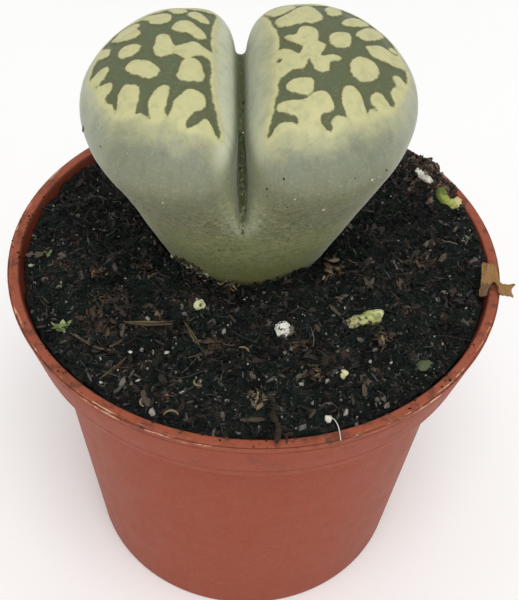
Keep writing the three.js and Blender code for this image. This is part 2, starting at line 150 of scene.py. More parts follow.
# Outlines of the dark window and of the pale islands and fingers in it, leaf by leaf. They are
# drawn in the stage camera's picture, in its units from the upper left corner, and thrown from
# there onto the skin.
LEFT_MARKINGS = {
    "window": [
        (217, 15.5), (213.5, 25.5), (212, 33), (211, 42), (212.5, 51), (210.5, 55), (210.5, 62.5),
        (212, 72.5), (210, 78), (211, 86.5), (212.5, 97), (215, 108.5), (216.5, 115), (219, 126.5),
        (221, 135), (218, 139), (212, 135), (198, 129), (186.5, 129), (175, 122.5), (168, 116.5),
        (159.5, 118.5), (150, 119.5), (145.5, 116), (142.5, 113), (139, 113), (135.5, 114), (126.5, 115),
        (115.5, 114), (111, 108.5), (104.5, 102), (98.5, 92), (96.5, 88), (92, 84), (89.5, 80.5),
        (92.5, 71.5), (97, 61), (102, 49.5), (111, 39.5), (121, 30.5), (131.5, 24), (141.5, 19), (152, 14),
        (162, 11), (175, 9), (185, 8.5), (198, 9.5), (208, 12),
    ],
    "crest": [
        (168.5, 10), (175, 9), (185, 9), (187, 11), (182.5, 13), (175, 13), (170.5, 11.5),
    ],
    "inner_crest": [
        (187.5, 13.5), (192.5, 11), (199, 12), (205.5, 16.5), (210, 21.5), (208.5, 23.5), (203, 22.5),
        (195, 19), (189, 16),
    ],
    "crescent": [
        (171.5, 27.5), (175.5, 22.5), (182.5, 20), (190, 21), (197, 26), (203, 31), (206, 35), (206, 38.5),
        (201.5, 38.5), (195, 37), (190, 33), (181, 31.5), (175, 30),
    ],
    "heart": [
        (153, 47), (155, 43.5), (155.5, 38.5), (158, 34.5), (164, 33), (169.5, 35.5), (172, 41.5),
        (175.5, 46.5), (173.5, 52.5), (168.5, 54), (162, 56), (157, 55), (154.5, 53),
    ],
    "bridge": [
        (174, 46.5), (182.5, 43.5), (192.5, 41), (198.5, 42.5), (204, 47), (210, 51), (213, 53.5),
        (213, 61), (209, 59), (203, 56), (195, 55.5), (189, 58), (182.5, 57), (177.5, 53.5), (173, 52.5),
    ],
    "oval": [
        (118, 55), (119.5, 51), (124, 46.5), (131.5, 44), (138, 44), (140.5, 46.5), (138.5, 51),
        (132.5, 55), (125, 58), (120.5, 58.5),
    ],
    "lozenge": [
        (125.5, 67.5), (129.5, 62.5), (134.5, 59.5), (141.5, 59.5), (149.5, 61), (154.5, 64), (160, 69),
        (158, 73.5), (152, 77), (146.5, 78), (139, 75.5), (131.5, 73.5), (127.5, 71),
    ],
    "shield": [
        (176, 75.5), (178, 71.5), (180.5, 65), (183.5, 59.5), (189, 57.5), (194, 58), (199, 61),
        (202, 66.5), (203.5, 72.5), (205, 76.5), (202, 81.5), (195, 81), (187.5, 80.5), (181, 79.5),
    ],
    "edge_finger": [
        (92, 64), (97, 53.5), (103.5, 49.5), (109, 49), (110.5, 51), (109, 55), (103.5, 58.5),
        (98.5, 60.5), (94.5, 64),
    ],
    "edge_island": [
        (111, 42), (116, 37), (120, 32), (127.5, 27), (135.5, 23), (139.5, 23.5), (138, 26), (136.5, 28.5),
        (139.5, 30), (139.5, 33), (135.5, 37), (127.5, 39.5), (118.5, 41.5),
    ],
    "top_island": [
        (141.5, 19), (148, 16), (157, 14), (166, 13), (170.5, 14.5), (171.5, 17), (168.5, 21), (162, 23),
        (155.5, 23.5), (150.5, 22.5), (148, 20),
    ],
    "finger_1": [
        (87, 89.5), (90, 81.5), (94.5, 76.5), (101, 70), (107, 67), (109, 69), (107, 74), (103.5, 79.5),
        (98.5, 85.5), (95.5, 88), (93, 94.5),
    ],
    "finger_2": [
        (96.5, 88.5), (102, 85.5), (108.5, 83), (112, 83.5), (111.5, 88), (109, 92.5), (105.5, 97),
        (105.5, 101), (108, 103.5), (111.5, 105), (114, 109.5), (115.5, 114), (108.5, 115), (98.5, 102),
    ],
    "finger_3": [
        (116, 114), (117, 106), (117.5, 97.5), (120.5, 90), (125, 85), (131.5, 84.5), (137, 86),
        (139.5, 89.5), (139, 97), (136.5, 106), (135.5, 113.5), (131.5, 121), (121, 121),
    ],
    "finger_4": [
        (150, 118.5), (148.5, 111), (148, 103.5), (150.5, 97), (156.5, 88.5), (162, 85), (167, 85),
        (169.5, 88), (168.5, 95.5), (166.5, 103.5), (165, 111), (167.5, 116.5), (162, 125), (154.5, 125),
    ],
    "finger_5": [
        (168, 116.5), (171.5, 108.5), (173.5, 102), (176.5, 97), (182.5, 93), (185.5, 89.5), (194, 89),
        (201, 92.5), (205.5, 97.5), (206, 104.5), (203.5, 108.5), (198, 110.5), (192.5, 113), (188, 118.5),
        (185.5, 124.5), (186.5, 128), (180, 134), (171, 127.5),
    ],
    "finger_6": [
        (187, 129), (192.5, 127), (199, 122.5), (205, 118.5), (208.5, 120.5), (212.5, 126.5), (215, 134),
        (218, 139), (210.5, 143), (194, 138),
    ],
}
RIGHT_MARKINGS = {
    "window": [
        (263, 16), (270.5, 21), (272.5, 26), (276.5, 30), (278.5, 37), (278.5, 49.5), (275.5, 60),
        (277, 71.5), (280, 78), (277, 84), (278.5, 90.5), (275, 99.5), (274, 109.5), (270.5, 121),
        (267.5, 138.5), (272, 135), (282, 129), (298.5, 125.5), (301, 129), (311.5, 131.5), (321.5, 127.5),
        (328, 130), (331, 132.5), (337, 126.5), (348.5, 119.5), (358.5, 118.5), (367.5, 116.5),
        (375, 113.5), (380.5, 111.5), (388, 109.5), (394.5, 107), (399.5, 97), (404.5, 86.5),
        (407.5, 81.5), (407, 74), (406, 69.5), (399.5, 57.5), (394.5, 47), (384, 35), (371.5, 25),
        (360, 17), (346, 11), (337, 9), (323, 6), (311.5, 5.5), (298.5, 5.5), (288.5, 6.5), (275.5, 11),
        (265.5, 14.5),
    ],
    "inner_crest": [
        (265.5, 14.5), (274.5, 10), (283.5, 7), (291, 6), (296, 6.5), (288.5, 11), (281, 14.5),
        (274.5, 16.5), (269.5, 16),
    ],
    "wing": [
        (275, 21), (281, 17), (288.5, 13), (297.5, 7.5), (304, 6), (311.5, 6.5), (316.5, 9.5), (321.5, 14),
        (323, 18), (318, 20.5), (312.5, 22.5), (306.5, 21.5), (301, 23), (295, 24), (287, 26),
        (279.5, 26.5), (276.5, 24),
    ],
    "crest": [
        (325, 8.5), (332, 7.5), (339.5, 10), (342, 13.5), (338, 15.5), (332, 15.5), (327.5, 13),
    ],
    "top_island": [
        (342, 22.5), (347, 19), (355, 18.5), (362.5, 21), (369, 25), (367.5, 26), (360, 27), (349.5, 26),
        (344.5, 25),
    ],
    "edge_island": [
        (356, 34), (361, 30), (369, 28), (375, 29.5), (381.5, 34), (383.5, 37), (379, 39.5), (371.5, 40.5),
        (363.5, 39.5), (358.5, 36.5),
    ],
    "edge_sliver": [
        (388.5, 48.5), (392, 48), (396, 51), (397, 54), (392.5, 52.5),
    ],
    "pebble": [
        (329.5, 39), (330, 35), (334.5, 32), (342, 31.5), (348.5, 32.5), (351.5, 36.5), (351, 42),
        (348, 46.5), (342, 47.5), (335.5, 46), (331, 42.5),
    ],
    "blade": [
        (366.5, 46), (371.5, 45.5), (379, 45.5), (386.5, 49), (394.5, 55), (400.5, 56), (407, 62.5),
        (411, 71.5), (406, 70), (398, 67.5), (390.5, 64), (383, 60.5), (375, 57.5), (370, 52.5),
    ],
    "disc": [
        (350.5, 66.5), (352, 60), (358.5, 56), (365, 57), (371.5, 60), (377, 65), (379.5, 71.5),
        (378, 76.5), (372.5, 80.5), (366.5, 81.5), (358.5, 79), (353, 74),
    ],
    "branch": [
        (270.5, 56), (277, 50.5), (284.5, 48), (291, 49.5), (297.5, 53), (300.5, 51.5), (302.5, 46),
        (300, 44), (295, 42.5), (288.5, 40), (284, 37), (288.5, 34.5), (295, 34), (298, 30.5),
        (299.5, 27.5), (304, 25.5), (311, 26), (316.5, 28.5), (319, 34.5), (318, 40), (326.5, 44.5),
        (323.5, 49.5), (321, 55), (329.5, 54), (335.5, 54), (342, 57), (342.5, 58.5), (338, 60), (331, 61),
        (330, 66.5), (328, 70), (321.5, 71.5), (315.5, 69), (312, 63), (309.5, 58), (307, 61), (304.5, 67),
        (298.5, 69), (293.5, 69), (287, 72.5), (282, 76.5), (272, 79),
    ],
    "pear": [
        (285.5, 86.5), (289, 81.5), (295, 78), (304, 77), (311.5, 77.5), (314.5, 81), (314, 86.5),
        (311.5, 92), (309, 95), (304, 95), (297.5, 92.5), (289.5, 90.5),
    ],
    "boot": [
        (276.5, 109), (277.5, 104), (283.5, 101), (293.5, 99.5), (304, 99), (309.5, 95.5), (316.5, 91.5),
        (324, 90.5), (329.5, 95), (333, 102), (334, 108), (330, 112), (323.5, 113), (321, 116),
        (320.5, 122), (323.5, 126.5), (328, 130), (331, 133), (316.5, 140.5), (301, 134), (299, 125),
        (297.5, 117.5), (295, 115), (289.5, 114), (283.5, 112), (278.5, 111.5),
    ],
    "corner_finger": [
        (268, 140.5), (272, 134), (277, 125.5), (283.5, 122), (291, 122), (297, 124.5), (299.5, 127.5),
        (291, 140.5), (275.5, 143),
    ],
    "notch_finger": [
        (348.5, 120), (344.5, 117), (339, 115), (334.5, 116.5), (331.5, 122), (333, 126.5), (332, 132),
        (342, 138), (355, 127.5),
    ],
    "finger_1": [
        (349, 120), (346, 112), (342.5, 104.5), (342, 97), (343, 89.5), (347, 85.5), (353, 85.5),
        (358, 90), (362.5, 97), (365, 106), (367, 112), (368, 117.5), (361, 126.5),
    ],
    "finger_2": [
        (368, 116.5), (369.5, 111), (372.5, 109), (376.5, 110), (379.5, 112), (375, 121),
    ],
    "finger_3": [
        (380.5, 112.5), (375, 107), (371.5, 99.5), (372.5, 94), (377, 91.5), (383, 94.5), (387.5, 101),
        (390.5, 106), (393.5, 108), (390.5, 117.5),
    ],
    "finger_4": [
        (394.5, 108), (395.5, 103.5), (392.5, 96.5), (391, 91), (395, 87.5), (396, 83.5), (393, 78),
        (395, 75.5), (399.5, 76.5), (404, 81.5), (407.5, 88), (409.5, 102), (399.5, 115),
    ],
    "dot": [
        (276.5, 60), (279.5, 58), (282, 59), (280, 62), (277, 62.5),
    ],
}
MARKINGS = {"left": LEFT_MARKINGS, "right": RIGHT_MARKINGS}

# Specks on the plant, as the stage camera sees them: across, down, and their width in mm.
SKIN_DIRT = [
    (83.5, 130, 0.5), (83, 127, 0.35), (100.5, 147, 0.22), (127, 195.5, 0.25), (135, 201, 0.3),
    (139, 198, 0.2), (143.5, 204, 0.3), (144, 207, 0.25), (146, 209, 0.35), (149, 210, 0.3),
    (166, 225, 0.22), (167, 228, 0.28), (167, 234, 0.26), (193.5, 226, 0.3), (209, 224.5, 0.26),
    (206.5, 232.5, 0.24), (219, 250, 0.34), (228.5, 179, 0.26), (237, 238, 0.22), (154, 155, 0.16),
    (284, 179, 0.3), (267, 189, 0.24), (267, 196.5, 0.2), (355, 178.5, 0.24), (386, 170, 0.4),
    (288.5, 214.5, 0.24), (287.5, 207.5, 0.18), (274, 207, 0.2), (260.5, 226, 0.28), (282.5, 228, 0.24),
    (289, 239, 0.3), (305.5, 258, 0.26), (249.5, 249, 0.2), (272, 219, 0.18), (243.5, 103, 0.55),
    (243.5, 110, 0.3), (240.5, 168, 0.3), (245.5, 210, 0.35), (242, 214, 0.3), (243.5, 195, 0.25),
]
SKIN_FLAKES = [
    (323.5, 209.5, 0.5), (292, 193, 0.24), (295, 199, 0.26), (318.5, 194.5, 0.28), (340.5, 186, 0.3),
    (372, 180, 0.34), (375.5, 179, 0.36), (378, 177, 0.34), (374, 182.5, 0.26), (311, 226, 0.24),
    (300.5, 222, 0.22), (290, 241, 0.2), (162.5, 202.5, 0.22), (164, 207, 0.26), (157, 214, 0.28),
    (205, 147, 0.26), (127, 153, 0.2), (198, 211, 0.18), (243.8, 133, 0.35), (244, 136, 0.25),
]
SPECK_HOME = (240, 200)                 # the picture's point that a stray speck is moved towards
NECK_HEAP = [(176, 256), (186, 260), (197, 266), (208, 274), (219, 283)]   # points of the picture

# ---------------------------------------------------------------- what lies on the peat

# Pale grains, as the stage camera sees them: across, down, and their width in mm.
PALE_GRAINS = [
    (76, 299, 0.35), (116, 320, 0.4), (148, 319, 0.45), (131, 353, 0.55), (142, 351, 0.5), (153, 353, 0.45),
    (166, 353, 0.5), (177, 344, 0.35), (223, 333, 0.5), (216, 333, 0.25), (147, 369, 0.4), (138, 381, 0.4),
    (122, 384, 0.75), (131, 385, 0.5), (101, 383, 0.3), (176, 373, 0.3), (234, 308, 0.3), (245, 324, 0.3),
    (228, 326, 0.25), (200, 383, 0.35), (182, 393, 0.45), (146, 400, 0.35), (152, 413, 0.75),
    (167, 397, 0.5), (196, 407, 0.35), (227, 401, 0.5), (217, 427, 0.3), (239, 434, 0.3), (248, 397, 0.35),
    (215, 400, 0.25), (100, 359, 0.3), (92, 376, 0.2), (269, 325, 0.65), (326, 334, 0.35), (313, 335, 0.25),
    (338, 347, 0.3), (285, 353, 0.4), (302, 350, 0.3), (370, 362, 0.4), (391, 363, 0.4), (302, 385, 0.45),
    (327, 382, 0.45), (312, 404, 0.4), (341, 401, 0.4), (357, 417, 0.35), (356, 425, 0.65), (346, 413, 0.6),
    (302, 428, 0.65), (276, 380, 0.3), (273, 415, 0.3), (384, 386, 0.35), (377, 401, 0.6), (385, 407, 0.3),
    (352, 299, 0.4), (362, 299, 0.3), (345, 308, 0.3), (304, 306, 0.25), (285, 297, 0.3), (139, 249, 0.35),
    (35, 283, 0.3), (31, 266, 0.4), (101, 272, 0.6), (195, 260, 0.35), (200, 266, 0.3), (207, 271, 0.35),
    (212, 276, 0.4), (219, 284, 0.4), (230, 286, 0.35), (205, 281, 0.3), (462, 242, 0.4), (430, 251, 0.4),
    (444, 256, 0.3),
]
CURLS = [                               # across, down, radius in mm, start and sweep in degrees
    (171, 419, 0.75, 20, 150),
    (146, 405, 0.55, 60, 200),
    (199, 385, 0.5, 150, 150),
    (242, 352, 0.7, 10, 110),
]
HAIRS = [                               # plan points, radius
    ([(16.6, -14.6), (17.7, -12.8), (18.7, -11.0)], 0.025),
    ([(18.8, -10.9), (21.3, -10.8), (23.9, -11.4)], 0.025),
    ([(-9.5, -17.5), (-7.0, -18.4), (-4.2, -17.6)], 0.05),
    ([(-2.0, -11.5), (0.5, -12.6), (1.2, -10.4)], 0.04),
]
SHREDS = [                              # across, down, size in mm, tone
    (314, 373, 1.3, 0.55), (258, 398, 1.2, 0.95), (381, 338, 1.5, 0.75), (216, 346, 1.6, 0.4),
    (330, 270, 1.9, 0.7), (418, 262, 1.6, 0.35), (402, 310, 1.2, 0.3),
    (168, 398, 1.2, 0.8), (97, 272, 1.2, 0.6), (230, 284, 1.3, 0.85), (160, 317, 1.0, 0.8),
    (88, 318, 2.0, 0.35), (104, 328, 1.8, 0.4), (98, 300, 1.5, 0.3), (112, 296, 1.5, 0.25),
    (145, 268, 1.4, 0.25), (300, 345, 1.6, 0.2), (66, 266, 0.9, 0.7), (372, 330, 1.2, 0.3),
]
BARK_PATCHES = [                        # x, y, spread
    (-15.3, -12.6, 3.0), (-3.6, -14.3, 2.0), (5.6, -13.8, 3.4), (18.1, 0.1, 2.4), (-20.2, -1.1, 2.6),
    (-8.5, -6.5, 2.4), (13.5, -3.4, 2.4), (-12.6, -19.0, 3.0), (-17.0, 8.5, 3.2), (3.0, -8.6, 2.2),
]
MOSS_LINE = [(21.65, 10.6), (21.6, 9.9), (22.1, 9.2), (22.8, 9.0), (23.35, 9.3), (23.5, 9.8)]
CLEAR_SPOTS = [                         # x, y, radius that crumbs keep clear of, round each single bit
    (3.4, -10.9, 1.0), (19.8, 13.2, 1.2), (12.1, -8.8, 1.7), (22.4, 9.5, 1.5), (-5.6, -8.0, 0.8),
    (9.6, -17.1, 0.75),
]
STRAWS = [                              # points of the picture, radius in mm
    ([(122, 324), (150, 326), (184, 325)], 0.34),
    ([(184, 326), (192, 337), (200, 348)], 0.16),
    ([(187, 361), (208, 353), (228, 345)], 0.22),
    ([(99, 380), (113, 370), (129, 361)], 0.17),
    ([(71, 334), (93, 345), (116, 353)], 0.24),
]

STREWN = {                              # sizes are half widths in mm, and a high power favours small ones
    "peat_crumbs": {"seed": 51, "size": (0.06, 0.38), "stretch": (1.3, 1, 0.8), "power": 4},
    "bark_flakes": {
        "seed": 52, "size": (0.12, 0.62), "stretch": (1.9, 0.7, 0.26), "power": 3, "sunk": 0.0,
        "flat": True, "gathered": 0.8,
    },
    "peat_chips": {
        "seed": 57, "size": (0.06, 0.36), "stretch": (2.0, 0.7, 0.4), "power": 2.5, "sunk": -0.05,
    },
    "grit": {"seed": 53, "size": (0.03, 0.17), "stretch": (1, 0.9, 0.8), "power": 3},
}
FIBRE_LENGTH = (0.5, 3.2)
FIBRE_RADIUS = (0.018, 0.06)
FIBRE_REACH = 25.2                      # distance from the pot's axis that no fibre passes
NECK_CRUMBS = 420
HEAP_CRUMBS = 860
LIP_SPECKS = [                          # heading in degrees, spread in degrees, how many
    (-136, 6, 14), (-88, 7, 30), (-35, 14, 14), (80, 40, 20), (176, 14, 30), (-62, 10, 6), (-116, 9, 12),
]
WHITE_SEED = (328, 421)                 # a point of the picture

SEATS = {                               # x, y, turn in degrees
    "perlite_large": (3.4, -10.9, 20),
    "perlite_small": (19.75, 13.1, -52),
    "seed_husk": (12.1, -8.8, 27),
    "ring_pebble": (-5.7, -7.9, 0),
    "cream_seed": (9.6, -17.1, 40),
    "olive_chip": (18.1, -15.2, 25),
    "green_shoots_left": (-19.9, -12.3, 20),
    "green_shoots_back": (-23.0, -1.4, 80),
    "green_shoots_right": (24.3, 3.8, 10),
}
TUFTS = {                               # how many leaflets, seed, size in mm
    "green_shoots_left": (9, 23, 1.1),
    "green_shoots_back": (8, 29, 0.8),
    "green_shoots_right": (8, 31, 0.6),
}
HALF_SIZES = {
    "perlite_large": (0.85, 0.95, 0.85),
    "perlite_small": (1.35, 0.52, 0.42),
    "seed_husk": (2.1, 0.92, 0.8),
    "ring_pebble": (0.66, 0.76, 0.78),
    "olive_chip": (0.85, 0.7, 0.28),
    "white_seed": (0.36, 0.42, 0.34),
}
SCRAP_OUTLINE = [
    (-2.9, -1.1), (-1.8, -1.05), (-0.5, -0.95), (0.7, -0.9), (1.7, -0.84), (1.8, -0.1), (1.74, 0.7),
    (1.2, 0.9), (0.4, 1.05), (-0.4, 1.2), (-0.85, 1.5), (-0.95, 2.1), (-0.7, 2.9), (-1.2, 2.6),
    (-1.7, 2.45), (-2.2, 2.5), (-2.6, 2.65), (-2.45, 1.8), (-2.3, 1.05), (-1.5, 0.95), (-0.9, 0.75),
    (-0.7, 0.45), (-1.3, 0.2), (-2.0, -0.05), (-2.8, -0.3),
]
SCRAP_SEAT = (25.9, -2.9, POT_HEIGHT + CLEARANCE + 0.5)

# Crumbs' colours from dark to pale, then their roughness, shine and size of grain in mm.
CRUMBS = {
    "dirt": ("26251a", "403e2b", "5a5742", 0.8, 0.1, 0.5),
    "flake": ("98977a", "b5b396", "dddbc6", 0.7, 0.2, 0.5),
    "neck crumbs": ("1d1b13", "48432f", "c6c2a6", 0.6, 0.3, 0.3),
    "bark": ("15120f", "2b241e", "50473b", 0.6, 0.2, 0.5),
    "chips": ("0e0f0f", "1f1f1d", "4e4b44", 0.45, 0.3, 0.5),
    "grit": ("262523", "55534c", "a3a095", 0.4, 0.5, 0.3),
    "straw": ("3a2e22", "5a4a36", "84745a", 0.6, 0.25, 0.5),
    "fibre": ("211b18", "3a302a", "6f6559", 0.6, 0.4, 0.5),
    "shred": ("30261f", "503f30", "8a7c5c", 0.6, 0.25, 0.5),
    "pale grain": ("45433d", "8d897e", "d8d5c9", 0.3, 0.5, 0.3),
    "heap": ("14110f", "3b2b23", "77695a", 0.7, 0.2, 0.3),
    "moss": ("5d6a31", "949f50", "cdbf8c", 0.8, 0.2, 0.5),
    "green shoots": ("5f6f3c", "83935a", "b9c48c", 0.6, 0.4, 0.5),
    "sage shoots": ("4a5238", "7c8462", "b5baa0", 0.6, 0.4, 0.5),
    "olive chip": ("3a4129", "575e41", "858b68", 0.6, 0.3, 0.5),
    "cream grain": ("b9b184", "dcd9ac", "f1efcf", 0.6, 0.35, 0.5),
    "ring": ("3d3c22", "a5a77a", "cfd1a6", 0.6, 0.35, 0.5),
    "twig bark": ("1a1511", "2f261e", "5f513f", 0.8, 0.2, 0.4),
    "dry leaf": ("614731", "916d3e", "b4915f", 0.7, 0.3, 0.6),
}

# ---------------------------------------------------------------- settings that a user may change


def tint(code):
    """A linear colour from the usual six figures."""
    parts = [int(code[i:i + 2], 16) / 255 for i in (0, 2, 4)]
    return tuple(p / 12.92 if p <= 0.04045 else ((p + 0.055) / 1.055) ** 2.4 for p in parts)


def colour(name, description, code):
    return bpy.props.FloatVectorProperty(
        name=name, description=description, subtype="COLOR", size=3, min=0, max=1, default=tint(code)
    )


def number(name, description, default, least=0):
    return bpy.props.IntProperty(name=name, description=description, default=default, min=least)


def length(name, description, default):
    """A length of the object, kept in metres and given here in millimetres."""
    return bpy.props.FloatProperty(
        name=name, description=description, default=default * MM, min=0, unit="LENGTH", precision=5
    )


class PlantSettings(bpy.types.PropertyGroup):
    grain: length("Skin grain", "Width of the faces of the plant's skin", 0.24)
    relief: length("Window depth", "How far the dark windows lie below the islands", 0.17)
    island: colour("Islands", "Pale islands and fingers in the windows", "bdbb89")
    shoulder: colour("Shoulder", "Cream band round the windows", "adac84")
    bloom: colour("Bloom", "Waxy blue-green of the sides", "7c8270")
    flank: colour("Flank", "Mauve-grey half way down the sides", "7d7f5c")
    waist: colour("Waist", "Greenish grey below the cleft", "979c68")
    neck: colour("Neck", "Olive green near the peat", "8d9150")
    lip: colour("Lips", "Pale lips of the cleft", "9ca281")
    window: colour("Windows", "Middle of the dark windows", "555f40")
    window_edge: colour("Window edges", "Browner rim of the dark windows", "595c3b")
    # The cleft walls' dark green holds painted shade as well as their own colour.
    cleft: colour("Cleft", "Walls of the cleft", "545f2e")


class PeatSettings(bpy.types.PropertyGroup):
    lumps: number("Lumps", "Lumps that the peat's surface is packed from", 16000)
    crumbs: number("Crumbs", "Loose crumbs of peat on the surface", 9000)
    chips: number("Chips", "Longish chips of peat that stand out of the surface", 5200)
    flakes: number("Bark flakes", "Brown flakes of bark", 3200)
    grit: number("Grit", "Pale grains of sand and perlite dust", 3600)
    fibres: number("Fibres", "Fine root and peat fibres", 3000)
    black: colour("Black peat", "Wet fine peat", "0e1111")
    brown: colour("Brown peat", "Drier peat and bark", "44352c")
    algae: colour("Algae", "Green-black tinge of damp places", "101a16")
    pale: colour("Grit", "Pale grit", "8d897e")


class PotSettings(bpy.types.PropertyGroup):
    segments: number("Segments", "Faces round the pot", 240, 24)
    plastic: colour("Plastic", "Terracotta red plastic", "964329")
    # Painted light: this lighter colour goes on the lip's top face, which faces the light.
    lip: colour("Lip", "Rubbed, stronger colour of the lip", "97503a")
    # Partly scratches and partly a painted highlight along the lip's rounded outer edge.
    scuff_and_highlight: colour("Scuffs", "Pale scratches along the lip's outer edge", "e8b596")
    dust: colour("Dust", "Grey-brown dust on the sides", "9a8476")


# ---------------------------------------------------------------- sums on arrays


def smooth(low, high, value):
    t = np.clip((value - low) / (high - low), 0, 1)
    return t * t * (3 - 2 * t)


def turned_2d(x, y, angle):
    return x * np.cos(angle) - y * np.sin(angle), x * np.sin(angle) + y * np.cos(angle)


def lattice_noise(x, y, size, seed):
    """Smooth noise from -1 to 1 with features of the given size."""
    side = 64
    table = np.random.default_rng(seed).uniform(-1, 1, (side, side))
    u, v = x / size, y / size
    i, j = np.floor(u).astype(int), np.floor(v).astype(int)
    fu, fv = u - i, v - j
    fu, fv = fu * fu * (3 - 2 * fu), fv * fv * (3 - 2 * fv)
    low = table[i % side, j % side] * (1 - fu) + table[(i + 1) % side, j % side] * fu
    high = table[i % side, (j + 1) % side] * (1 - fu) + table[(i + 1) % side, (j + 1) % side] * fu
    return low * (1 - fv) + high * fv


def between(a, b, c, d, t):
    """A smooth line's point at a share of the way from b to c, with a before and d after them."""
    return 0.5 * (2 * b + (c - a) * t
                  + (2 * a - 5 * b + 4 * c - d) * t ** 2
                  + (3 * b - a - 3 * c + d) * t ** 3)


def rounded(outline, steps=3):
    """A closed smooth line through the outline's points."""
    p = np.asarray(outline, float)
    before, after, last = np.roll(p, 1, 0), np.roll(p, -1, 0), np.roll(p, -2, 0)
    line = [between(before, p, after, last, t) for t in np.arange(steps) / steps]
    return np.stack(line, 1).reshape(-1, p.shape[1])


def depth_inside(points, outline, reach):
    """How far each point lies inside a closed outline: negative outside, never past reach."""
    depth = np.full(len(points), -float(reach))
    low, high = outline.min(0) - reach, outline.max(0) + reach
    near = np.flatnonzero(np.all((points > low) & (points < high), 1))
    if len(near) == 0:
        return depth
    x, y = points[near].T
    away = np.full(len(near), float(reach) ** 2)
    inside = np.zeros(len(near), bool)
    for (ax, ay), (bx, by) in zip(outline, np.roll(outline, -1, 0)):
        dx, dy = bx - ax, by - ay
        t = np.clip(((x - ax) * dx + (y - ay) * dy) / max(dx * dx + dy * dy, 1e-12), 0, 1)
        away = np.minimum(away, (x - ax - t * dx) ** 2 + (y - ay - t * dy) ** 2)
        if ay != by:
            crossing = (ay > y) != (by > y)
            inside ^= crossing & (x < ax + (y - ay) / (by - ay) * dx)
    depth[near] = np.sqrt(away) * np.where(inside, 1, -1)
    return depth


# ---------------------------------------------------------------- meshes


def as_mesh(name, points, faces):
    """A mesh in metres from points in millimetres."""
    mesh = bpy.data.meshes.new(name)
    mesh.from_pydata((np.asarray(points) * MM).tolist(), [], [list(map(int, f)) for f in faces])
    mesh.validate()
    mesh.update()
    return mesh


def piece(name, mesh, material, replaces=(), faceted=False):
    """A finished piece that rides on the part's one body."""
    made = bpy.data.objects.new(name, mesh)
    bpy.context.scene.collection.objects.link(made)
    mesh.materials.clear()
    mesh.materials.append(material)
    if faceted:
        mesh.shade_flat()
    else:
        mesh.shade_smooth()
    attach(made, "root")
    if replaces:
        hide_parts(*replaces)
    return made


def note(mesh, name, values):
    """Stores one number at each point of a mesh, for its material to read."""
    attribute = mesh.attributes.new(name, "FLOAT", "POINT")
    attribute.data.foreach_set("value", np.asarray(values, np.float32))


def points_of(mesh):
    flat = np.empty(3 * len(mesh.vertices))
    mesh.vertices.foreach_get("co", flat)
    return flat.reshape(-1, 3)


def put_points(mesh, points):
    mesh.vertices.foreach_set("co", np.ascontiguousarray(points, np.float32).ravel())
    mesh.update()


def normals_of(mesh):
    flat = np.empty(3 * len(mesh.vertices))
    mesh.vertex_normals.foreach_get("vector", flat)
    return flat.reshape(-1, 3)


def circle(radius, angle, z):
    """Points round Z at a height, each at its own angle and perhaps its own radius."""
    return np.column_stack([radius * np.cos(angle), radius * np.sin(angle), np.full(len(angle), z)])


def ring_faces(rings, count):
    """Four-cornered faces between rings of points that follow each other."""
    k = np.arange(count)
    after = (k + 1) % count
    faces = []
    for ring in range(rings - 1):
        a, b = ring * count, (ring + 1) * count
        faces.extend(np.stack([a + k, a + after, b + after, b + k], 1).tolist())
    return faces


def lofted(rings):
    """A closed body from rings of points, with a fan at each end."""
    rings = np.asarray(rings, float)
    levels, count, _ = rings.shape
    points = np.vstack([rings.reshape(-1, 3), rings[0].mean(0), rings[-1].mean(0)])
    faces = ring_faces(levels, count)
    first, last = levels * count, levels * count + 1
    for k in range(count):
        after = (k + 1) % count
        faces.append([first, after, k])
        faces.append([last, (levels - 1) * count + k, (levels - 1) * count + after])
    corners = points[np.array([f[:3] for f in faces])]
    volume = np.einsum("ij,ij->", corners[:, 0], np.cross(corners[:, 1], corners[:, 2]))
    if volume < 0:
        faces = [f[::-1] for f in faces]
    return points, faces


def joined(bodies):
    """One list of points and one of faces from several bodies."""
    points, faces, start = [], [], 0
    for body_points, body_faces in bodies:
        points.append(body_points)
        faces.extend([[start + i for i in f] for f in body_faces])
        start += len(body_points)
    return np.vstack(points), faces


def tube(line, radii, sides=6):
    """A closed round strand along a line, with a radius at each point."""
    line = np.asarray(line, float)
    radii = np.broadcast_to(np.asarray(radii, float), len(line))
    along = np.gradient(line, axis=0)
    along /= np.linalg.norm(along, axis=1)[:, None]
    side = np.cross(along, (0.0, 0.0, 1.0))
    side /= np.maximum(np.linalg.norm(side, axis=1), 1e-6)[:, None]
    up = np.cross(side, along)
    angle = TURN * np.arange(sides) / sides
    round_it = np.cos(angle)[None, :, None] * side[:, None] + np.sin(angle)[None, :, None] * up[:, None]
    return lofted(line[:, None] + radii[:, None, None] * round_it)


def through(points, steps):
    """An open smooth line through a few points."""
    p = np.asarray(points, float)
    p = np.vstack([2 * p[0] - p[1], p, 2 * p[-1] - p[-2]])
    line = []
    for k in range(1, len(p) - 2):
        line.extend(between(*p[k - 1:k + 3], t) for t in np.arange(steps) / steps)
    line.append(p[-2])
    return np.array(line)


def round_lump(detail):
    """The points and faces of a ball with even triangles."""
    ball = bpy.data.meshes.new("ball")
    shell = bmesh.new()
    bmesh.ops.create_icosphere(shell, subdivisions=detail, radius=1)
    shell.to_mesh(ball)
    shell.free()
    points = points_of(ball)
    faces = [list(face.vertices) for face in ball.polygons]
    bpy.data.meshes.remove(ball)
    return points, faces


def any_turns(count, random):
    """Rotation matrices spread evenly over all directions."""
    q = random.normal(size=(count, 4))
    w, x, y, z = (q / np.linalg.norm(q, axis=1)[:, None]).T
    return np.stack([
        1 - 2 * (y * y + z * z), 2 * (x * y - w * z), 2 * (x * z + w * y),
        2 * (x * y + w * z), 1 - 2 * (x * x + z * z), 2 * (y * z - w * x),
        2 * (x * z - w * y), 2 * (y * z + w * x), 1 - 2 * (x * x + y * y),
    ], 1).reshape(-1, 3, 3)


